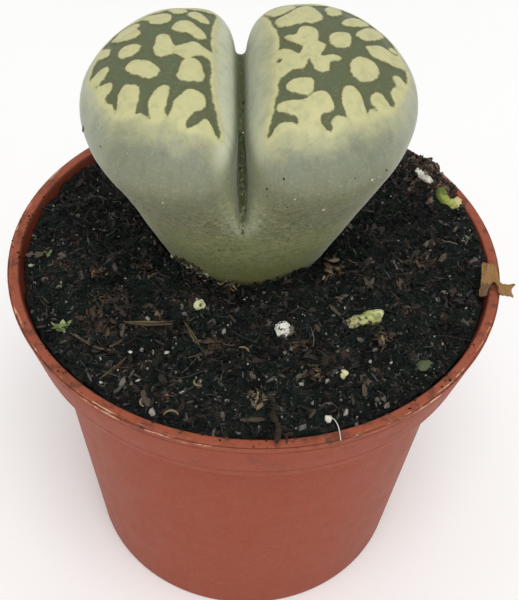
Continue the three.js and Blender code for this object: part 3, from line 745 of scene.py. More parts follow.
def scattered(places, sizes, random, stretch=(1, 1, 1), roughness=0.25, turns=None, detail=1):
    """Angular crumbs, one at each place: all their points and faces, and the crumb each point is of."""
    ball, ball_faces = round_lump(detail)
    count = len(places)
    turns = any_turns(count, random) if turns is None else turns
    shape = ball[None] * (1 + roughness * random.uniform(-1, 1, (count, len(ball), 1)))
    shape = shape * (np.asarray(stretch) * random.uniform(0.7, 1.3, (count, 3)))[:, None]
    shape = np.einsum("nij,nkj->nki", turns, shape) * np.asarray(sizes)[:, None, None]
    points = (shape + np.asarray(places)[:, None]).reshape(-1, 3)
    starts = np.arange(count)[:, None, None] * len(ball)
    faces = (starts + np.array(ball_faces)[None]).reshape(-1, 3)
    return points, faces, np.repeat(np.arange(count), len(ball))


def crumbs(places, sizes, random, stretch, roughness=0.3, turns=None):
    """Crumbs at places, each with a tone of its own."""
    points, faces, owner = scattered(places, sizes, random, stretch, roughness, turns)
    return points, faces, random.random(len(places))[owner]


def with_tones(bodies, tones):
    """Bodies joined, with the tone of each body, or one tone at each of its points."""
    points, faces = joined(bodies)
    spread = [np.broadcast_to(tone, len(body[0])) for body, tone in zip(bodies, tones)]
    return points, faces, np.concatenate(spread)


# ---------------------------------------------------------------- materials


class Value:
    """One output of a node, on which sums can be written."""

    def __init__(self, surface, socket):
        self.surface = surface
        self.socket = socket

    def sum(self, operation, *values):
        return self.surface.node("ShaderNodeMath", {"operation": operation}, dict(enumerate(values)))

    def __add__(self, other):
        return self.sum("ADD", self, other)

    def __sub__(self, other):
        return self.sum("SUBTRACT", self, other)

    def __rsub__(self, other):
        return self.sum("SUBTRACT", other, self)

    def __mul__(self, other):
        return self.sum("MULTIPLY", self, other)

    def __pow__(self, other):
        return self.sum("POWER", self, other)

    __radd__ = __add__
    __rmul__ = __mul__


class Surface:
    """The node tree of one material, filled by writing expressions."""

    def __init__(self, name, **constants):
        self.material = bpy.data.materials.new(name)
        self.material.use_nodes = True
        self.tree = self.material.node_tree
        self.tree.nodes.clear()
        self.shader = self.tree.nodes.new("ShaderNodeBsdfPrincipled")
        output = self.tree.nodes.new("ShaderNodeOutputMaterial")
        self.tree.links.new(self.shader.outputs["BSDF"], output.inputs["Surface"])
        for socket, value in constants.items():
            self.shader.inputs[socket.replace("_", " ")].default_value = value

    def node(self, kind, settings, sockets, output=0):
        """A node with its settings made first and then its sockets set or linked."""
        node = self.tree.nodes.new(kind)
        for name, value in settings.items():
            setattr(node, name, value)
        for key, value in sockets.items():
            self.feed(node.inputs[key], value)
        return Value(self, node.outputs[output])

    def feed(self, socket, value):
        """Links or sets a socket. A colour is three numbers or the usual six figures."""
        if isinstance(value, Value):
            self.tree.links.new(value.socket, socket)
        elif socket.type == "RGBA":
            socket.default_value = (*(tint(value) if isinstance(value, str) else value), 1)
        else:
            socket.default_value = value

    def place(self):
        """Where a point lies, in millimetres."""
        at = self.node("ShaderNodeTexCoord", {}, {}, "Object")
        return self.node("ShaderNodeVectorMath", {"operation": "SCALE"}, {0: at, "Scale": 1 / MM})

    def parts(self, vector):
        return [self.node("ShaderNodeSeparateXYZ", {}, {0: vector}, k) for k in range(3)]

    def noted(self, name):
        return self.node("ShaderNodeAttribute", {"attribute_name": name}, {}, "Fac")

    def noise(self, place, size, detail=2.0, roughness=0.5):
        """Noise from 0 to 1 with features of the given size in millimetres."""
        sockets = {"Vector": place, "Scale": 1 / size, "Detail": detail, "Roughness": roughness}
        return self.node("ShaderNodeTexNoise", {}, sockets)

    def cells(self, place, size):
        """Distance to the nearest of scattered points, in cells of the given size."""
        return self.node("ShaderNodeTexVoronoi", {}, {"Vector": place, "Scale": 1 / size})

    def ease(self, value, low, high):
        sockets = {0: value, 1: low, 2: high}
        return self.node("ShaderNodeMapRange", {"interpolation_type": "SMOOTHSTEP"}, sockets)

    def mix(self, share, first, second):
        return self.node("ShaderNodeMix", {"data_type": "RGBA"}, {0: share, 6: first, 7: second}, 2)

    def stretched(self, place, factors):
        return self.node("ShaderNodeVectorMath", {"operation": "MULTIPLY"}, {0: place, 1: factors})

    def bump(self, height, depth):
        """A Bump node for a height from 0 to 1 that stands for the depth in millimetres."""
        sockets = {"Strength": 1, "Distance": depth * MM, "Height": height}
        self.feed(self.shader.inputs["Normal"], self.node("ShaderNodeBump", {}, sockets))

    def finish(self, **sockets):
        for name, value in sockets.items():
            self.feed(self.shader.inputs[name.replace("_", " ")], value)
        return self.material


def lithops_skin(look):
    s = Surface("lithops skin", Specular_IOR_Level=0.35, Subsurface_Weight=0.10,
                Subsurface_Scale=0.0010, Sheen_Weight=0.3, Sheen_Roughness=0.25)
    at = s.place()
    height = s.noted("height")
    patchy = s.noise(at, 4.5, 3) - 0.5
    mottled = s.noise(at, 0.3, 3, 0.6)
    streaky = s.noise(s.stretched(at, (1, 1, 0.35)), 0.9, 3)
    drips = s.noise(s.stretched(at, (1, 1, 0.45)), 1.5, 3)
    away = s.noted("away") + 3.0 * (drips - 0.5)
    level = height + 0.30 * patchy
    bloom = s.mix(s.ease(away, 0.6, 3.4), look.shoulder, look.bloom)
    flank = s.mix(s.ease(level, 1.27, 0.83), bloom, look.flank)
    waist = s.mix(s.ease(level, 0.78, 0.42), flank, look.waist)
    sides = s.mix(s.ease(level, 0.42, 0.06), waist, look.neck)
    # Painted sheen: the outer flanks are mixed towards pale grey, a highlight painted into the colour.
    sides = s.mix(0.36 * s.noted("outer"), sides, "c6ccbc")
    # The lips' own pale colour, made lighter towards the top and towards the cleft's end as painted light.
    high, ending = s.ease(height, 1.04, 1.13), s.ease(height, CLEFT_END + 0.2, CLEFT_END + 0.02)
    lips = s.mix(high + 0.35 * ending, look.lip, "d0d4bb")
    sides = s.mix((0.5 + 0.35 * high + 0.12 * ending) * s.noted("pale_lips_and_light"), sides, lips)
    # Painted shade in the cleft: its walls go dark green, darkest in the middle of the cleft, over their
    # own green.
    cleft_colour_and_shade = s.mix(0.7 * s.ease(s.noise(at, 0.8, 3), 0.48, 0.62), look.cleft, "2b3218")
    cleft_colour_and_shade = s.mix(0.75 * s.ease(s.noted("cleft"), 0.6, 1), cleft_colour_and_shade, "343b1c")
    sides = s.mix(s.noted("cleft"), sides, cleft_colour_and_shade)
    island = s.mix(0.5 * s.ease(s.noise(at, 1.4, 3), 0.4, 0.75), look.island, "c9c38f")
    pale = s.mix(s.ease(s.noted("away"), 0.05, 0.9), island, sides)
    wobble = 0.42 * (s.noise(at, 0.5, 4, 0.65) - 0.5)
    window = s.noted("window") + wobble
    deep = s.mix(s.ease(window + 0.8 * patchy, 0.1, 0.8), look.window_edge, look.window)
    deep = s.mix(0.3 * s.ease(s.noise(at, 0.3, 3), 0.5, 0.75), deep, "6d7760")
    skin = s.mix(s.ease(window, -0.1, 0.1), pale, deep)
    outside = 1 - 0.8 * s.ease(window, -0.1, 0.1)
    skin = s.mix(0.12 * s.ease(mottled, 0.45, 0.8) * outside, skin, "dddcc8")
    skin = s.mix(0.16 * s.ease(streaky, 0.55, 0.3), skin, "565b48")
    low = s.ease(height, 0.95, 0.55)
    grainy = s.noise(at, 0.6, 5, 0.75)
    grained = s.ease(height, 1.12, 0.66) * (0.45 + 0.55 * s.ease(height, 0.1, 0.5))
    skin = s.mix(0.75 * s.ease(grainy, 0.5, 0.68) * grained, skin, "b3ad8d")
    skin = s.mix(0.6 * s.ease(grainy, 0.49, 0.32) * grained, skin, "55523a")
    dots = s.ease(s.cells(at, 0.95), 0.2, 0.1) * s.ease(s.noise(at, 1.7, 1), 0.46, 0.54)
    dots = dots * (0.2 + 0.8 * low) * outside
    specks = s.ease(s.cells(s.stretched(at, (1.1, 1.1, 1.3)), 0.85), 0.19, 0.1)
    specks = specks * s.ease(s.noise(at, 1.6, 1), 0.5, 0.58) * low
    skin = s.mix(0.7 * dots, skin, "3c3a28")
    skin = s.mix(0.35 * specks, skin, "c3c1a2")
    s.bump(0.35 * mottled + 0.65 * s.noise(at, 1.1, 3), 0.09)
    return s.finish(Base_Color=skin, Roughness=0.45 + 0.18 * s.noise(at, 1.3, 2))


def terracotta_plastic(look):
    s = Surface("terracotta plastic", Specular_IOR_Level=0.14)
    at = s.place()
    x, y, z = s.parts(at)
    radius = (x * x + y * y) ** 0.5
    cloudy = s.noise(at, 6.0, 4, 0.6)
    plastic = s.mix(0.5 * (cloudy - 0.2), look.plastic, "8a3f27")
    fine = s.noise(at, 0.4, 3, 0.7)
    plastic = s.mix(0.3 * s.ease(fine, 0.5, 0.75), plastic, "b0634a")
    plastic = s.mix(0.3 * s.ease(fine, 0.5, 0.28), plastic, "74331f")
    # Painted light: the lip's top face gets a lighter colour where it faces the light.
    painted_light_on_lip_top = s.ease(z, POT_HEIGHT - 0.7, POT_HEIGHT - 0.15)
    plastic = s.mix(painted_light_on_lip_top, plastic, look.lip)
    dusty = s.ease(s.noise(s.stretched(at, (1, 1, 0.35)), 3.0, 4, 0.65), 0.5, 0.85)
    plastic = s.mix(0.12 * dusty, plastic, look.dust)
    stained = s.ease(s.noise(at, 3.5, 5, 0.7), 0.52, 0.7) * s.ease(z, POT_HEIGHT - 9, POT_HEIGHT - 2)
    plastic = s.mix(0.45 * stained, plastic, "5e3526")
    grimy = s.ease(s.noise(at, 2.4, 5, 0.7), 0.48, 0.62) * s.ease(z, POT_HEIGHT - 1.6, POT_HEIGHT - 0.2)
    plastic = s.mix(0.6 * grimy, plastic, "4a3127")
    # Pale scuffs along the rounded outer edge of the lip: partly scratches, partly a painted highlight on
    # the edge.
    edge = s.ease(radius, RIM_RADIUS - 0.55, RIM_RADIUS - 0.25)
    edge = edge * s.ease(z, POT_HEIGHT - 0.6, POT_HEIGHT - 0.25)
    round_it = s.node("ShaderNodeCombineXYZ", {}, {0: 11 * y.sum("ARCTAN2", y, x), 1: 3 * radius, 2: 3 * z})
    scuffs_and_highlight = s.ease(s.noise(round_it, 0.9, 4, 0.65), 0.54, 0.62) * s.ease(s.noise(at, 6, 1), 0.40, 0.5)
    plastic = s.mix(0.8 * edge * scuffs_and_highlight, plastic, look.scuff_and_highlight)
    # Painted shade: the pot's inner wall is darkened.
    plastic = s.mix(0.7 * s.noted("inside"), plastic, "4a2018")
    specks = s.ease(s.cells(at, 2.2), 0.085, 0.05) * s.ease(s.noise(at, 5.0, 1), 0.5, 0.58)
    plastic = s.mix(0.75 * specks, plastic, "5c2c20")
    hairlines = s.noise(s.stretched(at, (0.25, 0.25, 6)), 0.7, 3)
    s.bump(0.5 * hairlines + 0.5 * s.noise(at, 0.35, 3), 0.025)
    roughness = 0.42 + 0.18 * s.noise(at, 2.5, 4) + 0.12 * dusty
    return s.finish(Base_Color=plastic, Roughness=roughness)


def peat_surface(look):
    s = Surface("peat", Specular_IOR_Level=0.12)
    at = s.place()
    tone = s.noted("tone")
    damp = s.mix(s.ease(s.noise(at, 3.4, 2), 0.40, 0.56), look.black, look.algae)
    brown = s.mix(s.noise(at, 0.7, 3), look.brown, "2b2320")
    crumb = s.mix(s.ease(tone + 0.9 * (s.noise(at, 4.5, 3) - 0.5), 0.66, 1.15), damp, brown)
    crumb = s.mix(s.ease(tone, 0.955, 0.985), crumb, "6b665c")
    grain = s.noise(at, 0.22, 4, 0.7)
    crumb = s.mix(0.55 * s.ease(grain, 0.52, 0.8), crumb, "5c5650")
    s.bump(grain, 0.16)
    wet = s.ease(s.noise(at, 0.9, 2), 0.42, 0.6)
    return s.finish(Base_Color=crumb, Roughness=0.85 - 0.55 * wet)


def crumb_surface(name, chosen=None):
    """Crumbs that differ in tone one from the next. The middle tone may be a chosen one."""
    dark, middle, pale, roughness, shine, grain = CRUMBS[name]
    s = Surface(name, Specular_IOR_Level=shine)
    middle = middle if chosen is None else chosen
    return s.finish(Base_Color=toned(s, dark, middle, pale, grain), Roughness=roughness)


def toned(s, first, second, third, size):
    at = s.place()
    tone = s.noted("tone")
    crumb = s.mix(s.ease(tone, 0.1, 0.6), first, second)
    crumb = s.mix(s.ease(tone, 0.7, 1.0), crumb, third)
    grain = s.noise(at, size * 0.35, 3, 0.65)
    s.bump(grain, 0.1 * size)
    return s.mix(0.5 * s.ease(grain, 0.5, 0.85), crumb, third)


def perlite_surface(name, cracked, soiled):
    """Chalky white, with cracks and soil on it as strong as asked."""
    s = Surface(name, Specular_IOR_Level=0.3, Roughness=0.85)
    at = s.place()
    bent = s.node("ShaderNodeTexNoise", {}, {"Vector": at, "Scale": 2.2}, "Color")
    bent = s.node("ShaderNodeVectorMath", {"operation": "ADD"}, {0: at, 1: bent})
    settings = {"feature": "DISTANCE_TO_EDGE"}
    edge = s.node("ShaderNodeTexVoronoi", settings, {"Vector": bent, "Scale": 0.85})
    chalk = toned(s, "c9c6ba", "e6e4d8", "f3f2ea", 0.5)
    chalk = s.mix(soiled * s.ease(s.noise(at, 1.1, 3), 0.3, 0.6), chalk, "84796a")
    cracks = s.ease(edge, 0.085, 0.04) * s.ease(s.noise(at, 1.2, 1), 0.42, 0.5)
    return s.finish(Base_Color=s.mix(cracked * cracks, chalk, "23221c"))


def husk_surface():
    """Buff with dark flecks at one end, yellow-green at the other."""
    s = Surface("green husk", Specular_IOR_Level=0.4, Roughness=0.55)
    at = s.place()
    tone = s.noted("tone")
    skin = toned(s, "aba57c", "b2b672", "d6d8a8", 0.6)
    skin = s.mix(s.ease(s.noise(at, 0.5, 3), 0.46, 0.62) * 0.75, skin, "7b8042")
    flecks = s.ease(s.cells(at, 0.5), 0.46, 0.34) * s.ease(tone, 0.68, 0.46)
    skin = s.mix(0.9 * flecks * s.ease(s.noise(at, 0.8, 1), 0.3, 0.36), skin, "39311c")
    skin = s.mix(s.ease(tone, 0.93, 0.99), skin, "e4e3cf")
    return s.finish(Base_Color=skin)


# ---------------------------------------------------------------- stage


def camera_turn():
    lean = Matrix.Rotation((90 - CAMERA_DROP) * DEGREE, 3, "X")
    return lean @ Matrix.Rotation(CAMERA_ROLL * DEGREE, 3, "Z")


def make_camera():
    camera = bpy.data.cameras.new("stage camera")
    camera.sensor_width = 36
    camera.lens = FOCAL_LENGTH / max(PICTURE_WIDTH, PICTURE_HEIGHT) * camera.sensor_width
    camera.clip_start = 0.005
    camera.clip_end = 20
    holder = bpy.data.objects.new("stage camera", camera)
    holder.matrix_world = Matrix.Translation(CAMERA_AT * MM) @ camera_turn().to_4x4()
    bpy.context.scene.collection.objects.link(holder)
    bpy.context.scene.camera = holder


def make_softbox(name, place, aim, size, power):
    light = bpy.data.lights.new(name, "AREA")
    light.shape = "DISK"
    light.size = size
    light.energy = power
    holder = bpy.data.objects.new(name, light)
    holder.location = place
    holder.rotation_euler = (Vector(aim) - Vector(place)).to_track_quat("-Z", "Y").to_euler()
    bpy.context.scene.collection.objects.link(holder)


def make_floor():
    mesh = bpy.data.meshes.new("floor")
    half = FLOOR_HALF
    corners = [(-half, -half, 0), (half, -half, 0), (half, half, 0), (-half, half, 0)]
    mesh.from_pydata(corners, [], [(0, 1, 2, 3)])
    floor = bpy.data.objects.new("floor", mesh)
    bpy.context.scene.collection.objects.link(floor)
    s = Surface("floor", Roughness=0.9, Specular_IOR_Level=0.1)
    shade = s.mix(s.noise(s.place(), 40, 2), "fbfbfa", "fdfdfc")
    mesh.materials.append(s.finish(Base_Color=shade))


def light_world():
    world = bpy.data.worlds.new("studio")
    world.use_nodes = True
    background = world.node_tree.nodes["Background"]
    background.inputs["Color"].default_value = (1, 1, 1, 1)
    background.inputs["Strength"].default_value = WORLD_STRENGTH
    bpy.context.scene.world = world
    bpy.context.scene.view_settings.view_transform = "Standard"


# ---------------------------------------------------------------- pot


def wall_radius(z):
    return BASE_RADIUS + (BODY_TOP_RADIUS - BASE_RADIUS) * z / (POT_HEIGHT - COLLAR_HEIGHT)


def collar_radius(z):
    foot = POT_HEIGHT - COLLAR_HEIGHT
    return COLLAR_FOOT_RADIUS + (RIM_RADIUS - COLLAR_FOOT_RADIUS) * (z - foot) / COLLAR_HEIGHT


def corner(before, at, after, radius, steps=4):
    """A rounded corner of a profile."""
    before, at, after = (np.asarray(p, float) for p in (before, at, after))
    first = at + (before - at) / np.linalg.norm(before - at) * radius
    last = at + (after - at) / np.linalg.norm(after - at) * radius
    t = np.linspace(0, 1, steps + 1)[:, None]
    return (1 - t) ** 2 * first + 2 * t * (1 - t) * at + t ** 2 * last


def pot_profile():
    """The pot's section as (radius, height), from the middle of the foot up and over the lip."""
    foot = POT_HEIGHT - COLLAR_HEIGHT
    groove = POT_HEIGHT - 0.95
    corners = [
        ((BASE_RADIUS, 0), 0.45),
        ((wall_radius(foot) - 0.02, foot - 0.05), 0.25),
        ((COLLAR_FOOT_RADIUS, foot), 0.25),
        ((collar_radius(foot + 1.15), foot + 1.15), 0.1),
        ((collar_radius(foot + 1.3) - 0.06, foot + 1.3), 0.08),
        ((collar_radius(foot + 1.45), foot + 1.45), 0.1),
        ((collar_radius(groove - 0.2), groove - 0.2), 0.12),
        ((collar_radius(groove) - 0.09, groove), 0.1),
        ((collar_radius(groove + 0.2), groove + 0.2), 0.12),
        ((RIM_RADIUS, POT_HEIGHT - 0.1), 0.22),
        ((RIM_RADIUS - 0.3, POT_HEIGHT), 0.2),
        ((LIP_INNER, POT_HEIGHT), 0.3),
        ((collar_radius(foot + WALL) - LIP_WIDTH, foot + WALL), 0.3),
        ((wall_radius(foot + WALL) - WALL, foot + WALL), 0.3),
        ((BASE_RADIUS - WALL, FLOOR), 0.6),
    ]
    inner_end = (0.0, FLOOR)
    line = [(0.0, 0.0), *(p for p, _ in corners), inner_end]
    profile = []
    for k, (at, radius) in enumerate(corners, 1):
        profile.extend(corner(line[k - 1], at, line[k + 1], radius).tolist())
    return profile


def spun(profile, segments):
    """A closed body turned about Z from a profile that starts and ends near the axis."""
    angle = TURN * np.arange(segments) / segments
    return lofted([circle(radius, angle, z) for radius, z in profile])


def inner_wall_shade(points):
    """1 on the pot's inner wall and 0 outside it, where the wall is painted dark as painted shade."""
    foot = POT_HEIGHT - COLLAR_HEIGHT
    radius, z = np.hypot(points[:, 0], points[:, 1]), points[:, 2]
    middle = np.where(z > foot + 0.6, collar_radius(z) - LIP_WIDTH / 2, wall_radius(z) - WALL / 2)
    return np.where((radius < middle) & (z > FLOOR / 2) & (z < POT_HEIGHT - 0.05), 1.0, 0.0)


def drilled(mesh, cutter_mesh):
    """The mesh with the cutter's volume taken away."""
    body = bpy.data.objects.new("drilled", mesh)
    cutter = bpy.data.objects.new("cutter", cutter_mesh)
    for made in (body, cutter):
        bpy.context.scene.collection.objects.link(made)
    cut = body.modifiers.new("cut", "BOOLEAN")
    cut.operation = "DIFFERENCE"
    cut.solver = "MANIFOLD"
    cut.object = cutter
    result = settled(body)
    bpy.data.objects.remove(cutter)
    return result


def settled(holder):
    """The mesh that a temporary object's modifiers make. The object is removed."""
    bpy.context.view_layer.update()
    graph = bpy.context.evaluated_depsgraph_get()
    mesh = bpy.data.meshes.new_from_object(holder.evaluated_get(graph), depsgraph=graph)
    bpy.data.objects.remove(holder)
    if len(mesh.polygons) == 0:
        raise RuntimeError("a modifier left an empty mesh")
    return mesh


def drain_drills():
    """The round bars that the drainage holes are cut with."""
    drills = []
    for k in range(DRAIN_HOLES):
        angle = TURN * k / DRAIN_HOLES
        x, y = DRAIN_CIRCLE * math.cos(angle), DRAIN_CIRCLE * math.sin(angle)
        drills.append(tube([(x, y, -1), (x, y + 1e-6, 1), (x, y, FLOOR + 1)], DRAIN_RADIUS, 32))
    return joined(drills)


# ---------------------------------------------------------------- plant


def plant_frame():
    """Where the plant stands, and how it leans."""
    return (
        Matrix.Translation(PLANT_AT)
        @ Matrix.Rotation(YAW * DEGREE, 4, "Z")
        @ Matrix.Rotation(-LEAN_LEFT * DEGREE, 4, "Y")
        @ Matrix.Rotation(LEAN_FORWARD * DEGREE, 4, "X")
    )


def placed(points):
    """Points of the plant's own frame, in the part's frame."""
    turn = np.array(plant_frame())
    return points @ turn[:3, :3].T + turn[:3, 3]


def unplaced(points):
    """Points of the part's frame, in the plant's own frame."""
    turn = np.array(plant_frame())
    return (points - turn[:3, 3]) @ turn[:3, :3]


def taper(sizes, share):
    """Width or depth of the plant at a share of the widest height, as a share of the full one."""
    last = len(sizes) - 1
    place = (np.asarray(share, float) - TAPER_START) / (1 - TAPER_START) * last
    place = np.clip(place, 0, last - 1e-6)
    k = np.floor(place).astype(int)
    beyond = [np.clip(k + step, 0, None) for step in (-1, 0, 1, 2)]
    value = [np.asarray(sizes)[np.where(step > last, 2 * last - step, step)] for step in beyond]
    slope_in, slope_out = (value[2] - value[0]) / 2, (value[3] - value[1]) / 2
    t = place - k
    return (value[1] * (2 * t ** 3 - 3 * t ** 2 + 1) + slope_in * (t ** 3 - 2 * t ** 2 + t)
            + value[2] * (3 * t ** 2 - 2 * t ** 3) + slope_out * (t ** 3 - t ** 2))


def outline_radius(angle, half_width, half_depth, power):
    across = np.abs(np.cos(angle) / half_width) ** power
    along = np.abs(np.sin(angle) / half_depth) ** power
    return (across + along) ** (-1 / power)


def leaf_radius(leaf, azimuth):
    outer = outline_radius(azimuth, leaf["outer"], HALF_DEPTH, OUTER_POWER)
    inner = outline_radius(azimuth, leaf["inner"], HALF_DEPTH, INNER_POWER)
    return np.where(np.cos(azimuth) > 0, outer, inner)


def fused_radius(leaf, azimuth):
    """The same radius where the cleft has closed: half of one oval, cut flat along the cleft."""
    half_width = leaf["outer"] + leaf["inner"]
    c = np.cos(azimuth)
    a = (c / half_width) ** 2 + (np.sin(azimuth) / HALF_DEPTH) ** 2
    b = leaf["inner"] * c / half_width ** 2
    oval = (-b + np.sqrt(b * b - a * ((leaf["inner"] / half_width) ** 2 - 1))) / a
    to_cleft = np.maximum(0, -c) / leaf["inner"]
    return (oval ** -LIP_POWER + to_cleft ** LIP_POWER) ** (-1 / LIP_POWER)


def side_ring(leaf, azimuth, share, inset=1.0):
    width, depth = taper(leaf["taper"], share), taper(DEPTH_TAPER, share)
    outward = smooth(0, 0.7, np.cos(azimuth))
    parted = smooth(CLEFT_END - 0.3 * outward, 1, share)
    radius = inset * (leaf_radius(leaf, azimuth) * parted + fused_radius(leaf, azimuth) * (1 - parted))
    opened = smooth(CLEFT_END - 0.02, CLEFT_END + 0.14, share)
    gap = HALF_CLEFT * (opened + (share - opened) * outward)
    ring = circle(depth * radius, azimuth, share * WIDEST_HEIGHT)
    ring[:, 0] = leaf["side"] * (gap + width * (leaf["inner"] + radius * np.cos(azimuth)))
    return ring


def dome_ring(leaf, azimuth, latitude):
    radius = math.cos(latitude) * leaf_radius(leaf, azimuth)
    ring = circle(radius, azimuth, WIDEST_HEIGHT + leaf["dome"] * math.sin(latitude))
    ring[:, 0] = leaf["side"] * (HALF_CLEFT + leaf["inner"] + radius * np.cos(azimuth))
    return ring


def leaf_body(leaf, around=220, levels=60, dome_rings=70):
    azimuth = TURN * np.arange(around) / around
    rings = []
    for level in range(levels):
        share = FORK_START + (1 - FORK_START) * level / levels
        rings.append(side_ring(leaf, azimuth, share, 0.8 + 0.2 * smooth(0, 8, level)))
    for ring in range(dome_rings):
        rings.append(dome_ring(leaf, azimuth, 89 * DEGREE * ring / (dome_rings - 1)))
    return lofted(rings)


def neck_radius(azimuth, z):
    """How far the fused neck, and the tap root under it, reach from their axis."""
    share = np.asarray(z) / WIDEST_HEIGHT
    slim = np.clip((z + ROOT_DEPTH) / (ROOT_DEPTH + ROOT_TOP), 0, 1) ** 0.8
    widths = [
        taper(leaf["taper"], share) * (leaf["outer"] + leaf["inner"]) + HALF_CLEFT * np.clip(share, 0, 1)
        for leaf in LEAVES.values()
    ]
    width = np.where(np.cos(azimuth) > 0, widths[1], widths[0])
    depth = taper(DEPTH_TAPER, share) * HALF_DEPTH
    return np.clip(slim, ROOT_WIDTH, 1) * outline_radius(azimuth, width, depth, 2)


def neck_ring(z, around=120):
    azimuth = TURN * np.arange(around) / around
    tucked = 1 - 0.03 * smooth(0.35, 0.5, z / WIDEST_HEIGHT)
    return circle(tucked * neck_radius(azimuth, z), azimuth, z)


def neck_body():
    return lofted([neck_ring(z) for z in np.linspace(-ROOT_DEPTH, 0.9 * CLEFT_END * WIDEST_HEIGHT, 60)])


def web_body(around=64):
    """The flesh between the leaves. It is flush below, and sinks away where the cleft opens."""
    azimuth = TURN * np.arange(around) / around
    rings = []
    for share in np.linspace(0.1, 1, 60):
        depth = taper(DEPTH_TAPER, share) * HALF_DEPTH
        reach = np.where(
            np.sin(azimuth) < 0,
            np.interp(share, WEB_HEIGHTS, WEB_FRONT),
            np.interp(share, WEB_HEIGHTS, WEB_BACK),
        )
        half_width = 1.0 - 0.35 * smooth(0.6, 1, share)
        radius = outline_radius(azimuth, half_width, 1, 6)
        ring = circle(radius, azimuth, share * WIDEST_HEIGHT)
        ring[:, 1] = depth * reach * radius * np.sin(azimuth)
        rings.append(ring)
    top = rings[-1]
    for step in np.linspace(0.1, 1, 8):
        rings.append(top * (1, 1 - 0.3 * step ** 2, 1) + (0, 0, WEB_CREST * math.sin(step * TURN / 4)))
    return lofted(rings)


def melted(points, faces, grain):
    """One skin round overlapping bodies, with even faces, its steps smoothed away."""
    mesh = bpy.data.meshes.new("melted")
    mesh.from_pydata(points.tolist(), [], faces)
    holder = bpy.data.objects.new("melted", mesh)
    bpy.context.scene.collection.objects.link(holder)
    remesh = holder.modifiers.new("melt", "REMESH")
    remesh.mode = "VOXEL"
    remesh.voxel_size = grain
    skin = settled(holder)
    ends = np.empty(2 * len(skin.edges), int)
    skin.edges.foreach_get("vertices", ends)
    put_points(skin, relaxed(points_of(skin), ends.reshape(-1, 2), 12))
    return skin


def relaxed(points, edges, rounds):
    """Smooths points without shrinking the body: each round steps in and then a little further out."""
    count = len(points)
    a, b = edges.T
    share = np.bincount(a, minlength=count) + np.bincount(b, minlength=count)
    for _ in range(rounds):
        for step in (0.5, -0.52):
            mean = np.stack([
                np.bincount(a, points[b, k], count) + np.bincount(b, points[a, k], count)
                for k in range(3)
            ], 1) / share[:, None]
            points = points + step * (mean - points)
    return points


def picture_ray(across, down):
    """The direction in which the stage camera sees a point of its picture."""
    x = (across - PICTURE_WIDTH / 2) / FOCAL_LENGTH
    y = (PICTURE_HEIGHT / 2 - down) / FOCAL_LENGTH
    return camera_turn() @ Vector((x, y, -1))


def thrown(tree, across, down, home):
    """The skin's first point behind a point of the picture, moved towards home until there is one."""
    at, home = Vector((across, down)), Vector(home)
    for step in range(60):
        seen = at.lerp(home, step / 150)
        point, normal, _, _ = tree.ray_cast(CAMERA_AT, picture_ray(*seen))
        if point is not None:
            return point, normal
    raise RuntimeError(f"nothing of the plant lies behind ({across}, {down})")


def markings_on(tree, side):
    """Each outline of a leaf as a closed line of points in the plant's own frame."""
    home = np.mean(MARKINGS[side]["window"], 0)
    found = {}
    for name, outline in MARKINGS[side].items():
        hits = np.array([thrown(tree, *point, home)[0] for point in outline])
        found[name] = rounded(unplaced(hits))
    return found


def mark_leaf(points, outlines):
    """Depth inside the dark windows, and distance from the windows' outer line, at each point."""
    reach = WINDOW_REACH
    plan = points[:, :2]
    window = depth_inside(plan, outlines["window"][:, :2], reach)
    for name, outline in outlines.items():
        if name == "dot":
            window = np.maximum(window, depth_inside(plan, outline[:, :2], reach))
        elif name != "window":
            window = np.minimum(window, -depth_inside(plan, outline[:, :2], reach))
    line = outlines["window"]
    away = np.full(len(points), np.inf)
    for near in line:
        away = np.minimum(away, ((points - near) ** 2).sum(1))
    inside = (depth_inside(plan, line[:, :2], reach) > 0) & (points[:, 2] > WIDEST_HEIGHT)
    return window, np.where(inside, 0, np.sqrt(away))


def mark_plant(tree, points):
    """The numbers that the skin's material reads, at each point of the plant's own frame."""
    window, away = np.full(len(points), -WINDOW_REACH), np.full(len(points), FAR)
    for side, leaf in LEAVES.items():
        here = np.flatnonzero(points[:, 0] * leaf["side"] > 0)
        depth, gap = mark_leaf(points[here], markings_on(tree, side))
        below = smooth(WIDEST_HEIGHT + 0.5, WIDEST_HEIGHT, points[here, 2])
        window[here] = depth * (1 - below) - WINDOW_REACH * below
        away[here] = gap
    height = points[:, 2] / WIDEST_HEIGHT
    parted = smooth(CLEFT_END - 0.05, CLEFT_END + 0.22, height)
    open_width = 0.12 + 0.88 * smooth(CLEFT_END - 0.03, CLEFT_END + 0.2, height)
    begun = smooth(CLEFT_END - 0.04, CLEFT_END, height)
    # The cleft's mask, 1 in its middle, where the skin is painted dark as painted shade.
    cleft = (1 - smooth(0.05 * open_width, 0.85 * open_width, np.abs(points[:, 0]))) * begun
    pale_lips_and_light = 1 - smooth(0.5 + 0.7 * parted, 1.7 + 1.5 * parted, np.abs(points[:, 0]))
    pale_lips_and_light = pale_lips_and_light * smooth(CLEFT_END - 0.08, CLEFT_END + 0.06, height)
    # Near the top the right leaf's lips stay less pale: painted shade on the lip that faces away from the
    # light.
    pale_lips_and_light = pale_lips_and_light * (1 - 0.5 * smooth(1.0, 1.1, height) * (points[:, 0] > 0))
    # How near a point lies to the outer flank, where the skin gets a painted sheen.
    widths = [taper(leaf["taper"], height) * (leaf["outer"] + leaf["inner"]) for leaf in LEAVES.values()]
    outer = smooth(0.7, 1.02, np.abs(points[:, 0]) / np.where(points[:, 0] > 0, widths[1], widths[0]))
    outer = outer * smooth(0.1, 0.6, height)
    return {
        "window": window, "away": away, "height": height, "cleft": cleft, "pale_lips_and_light": pale_lips_and_light, "outer": outer,
    }


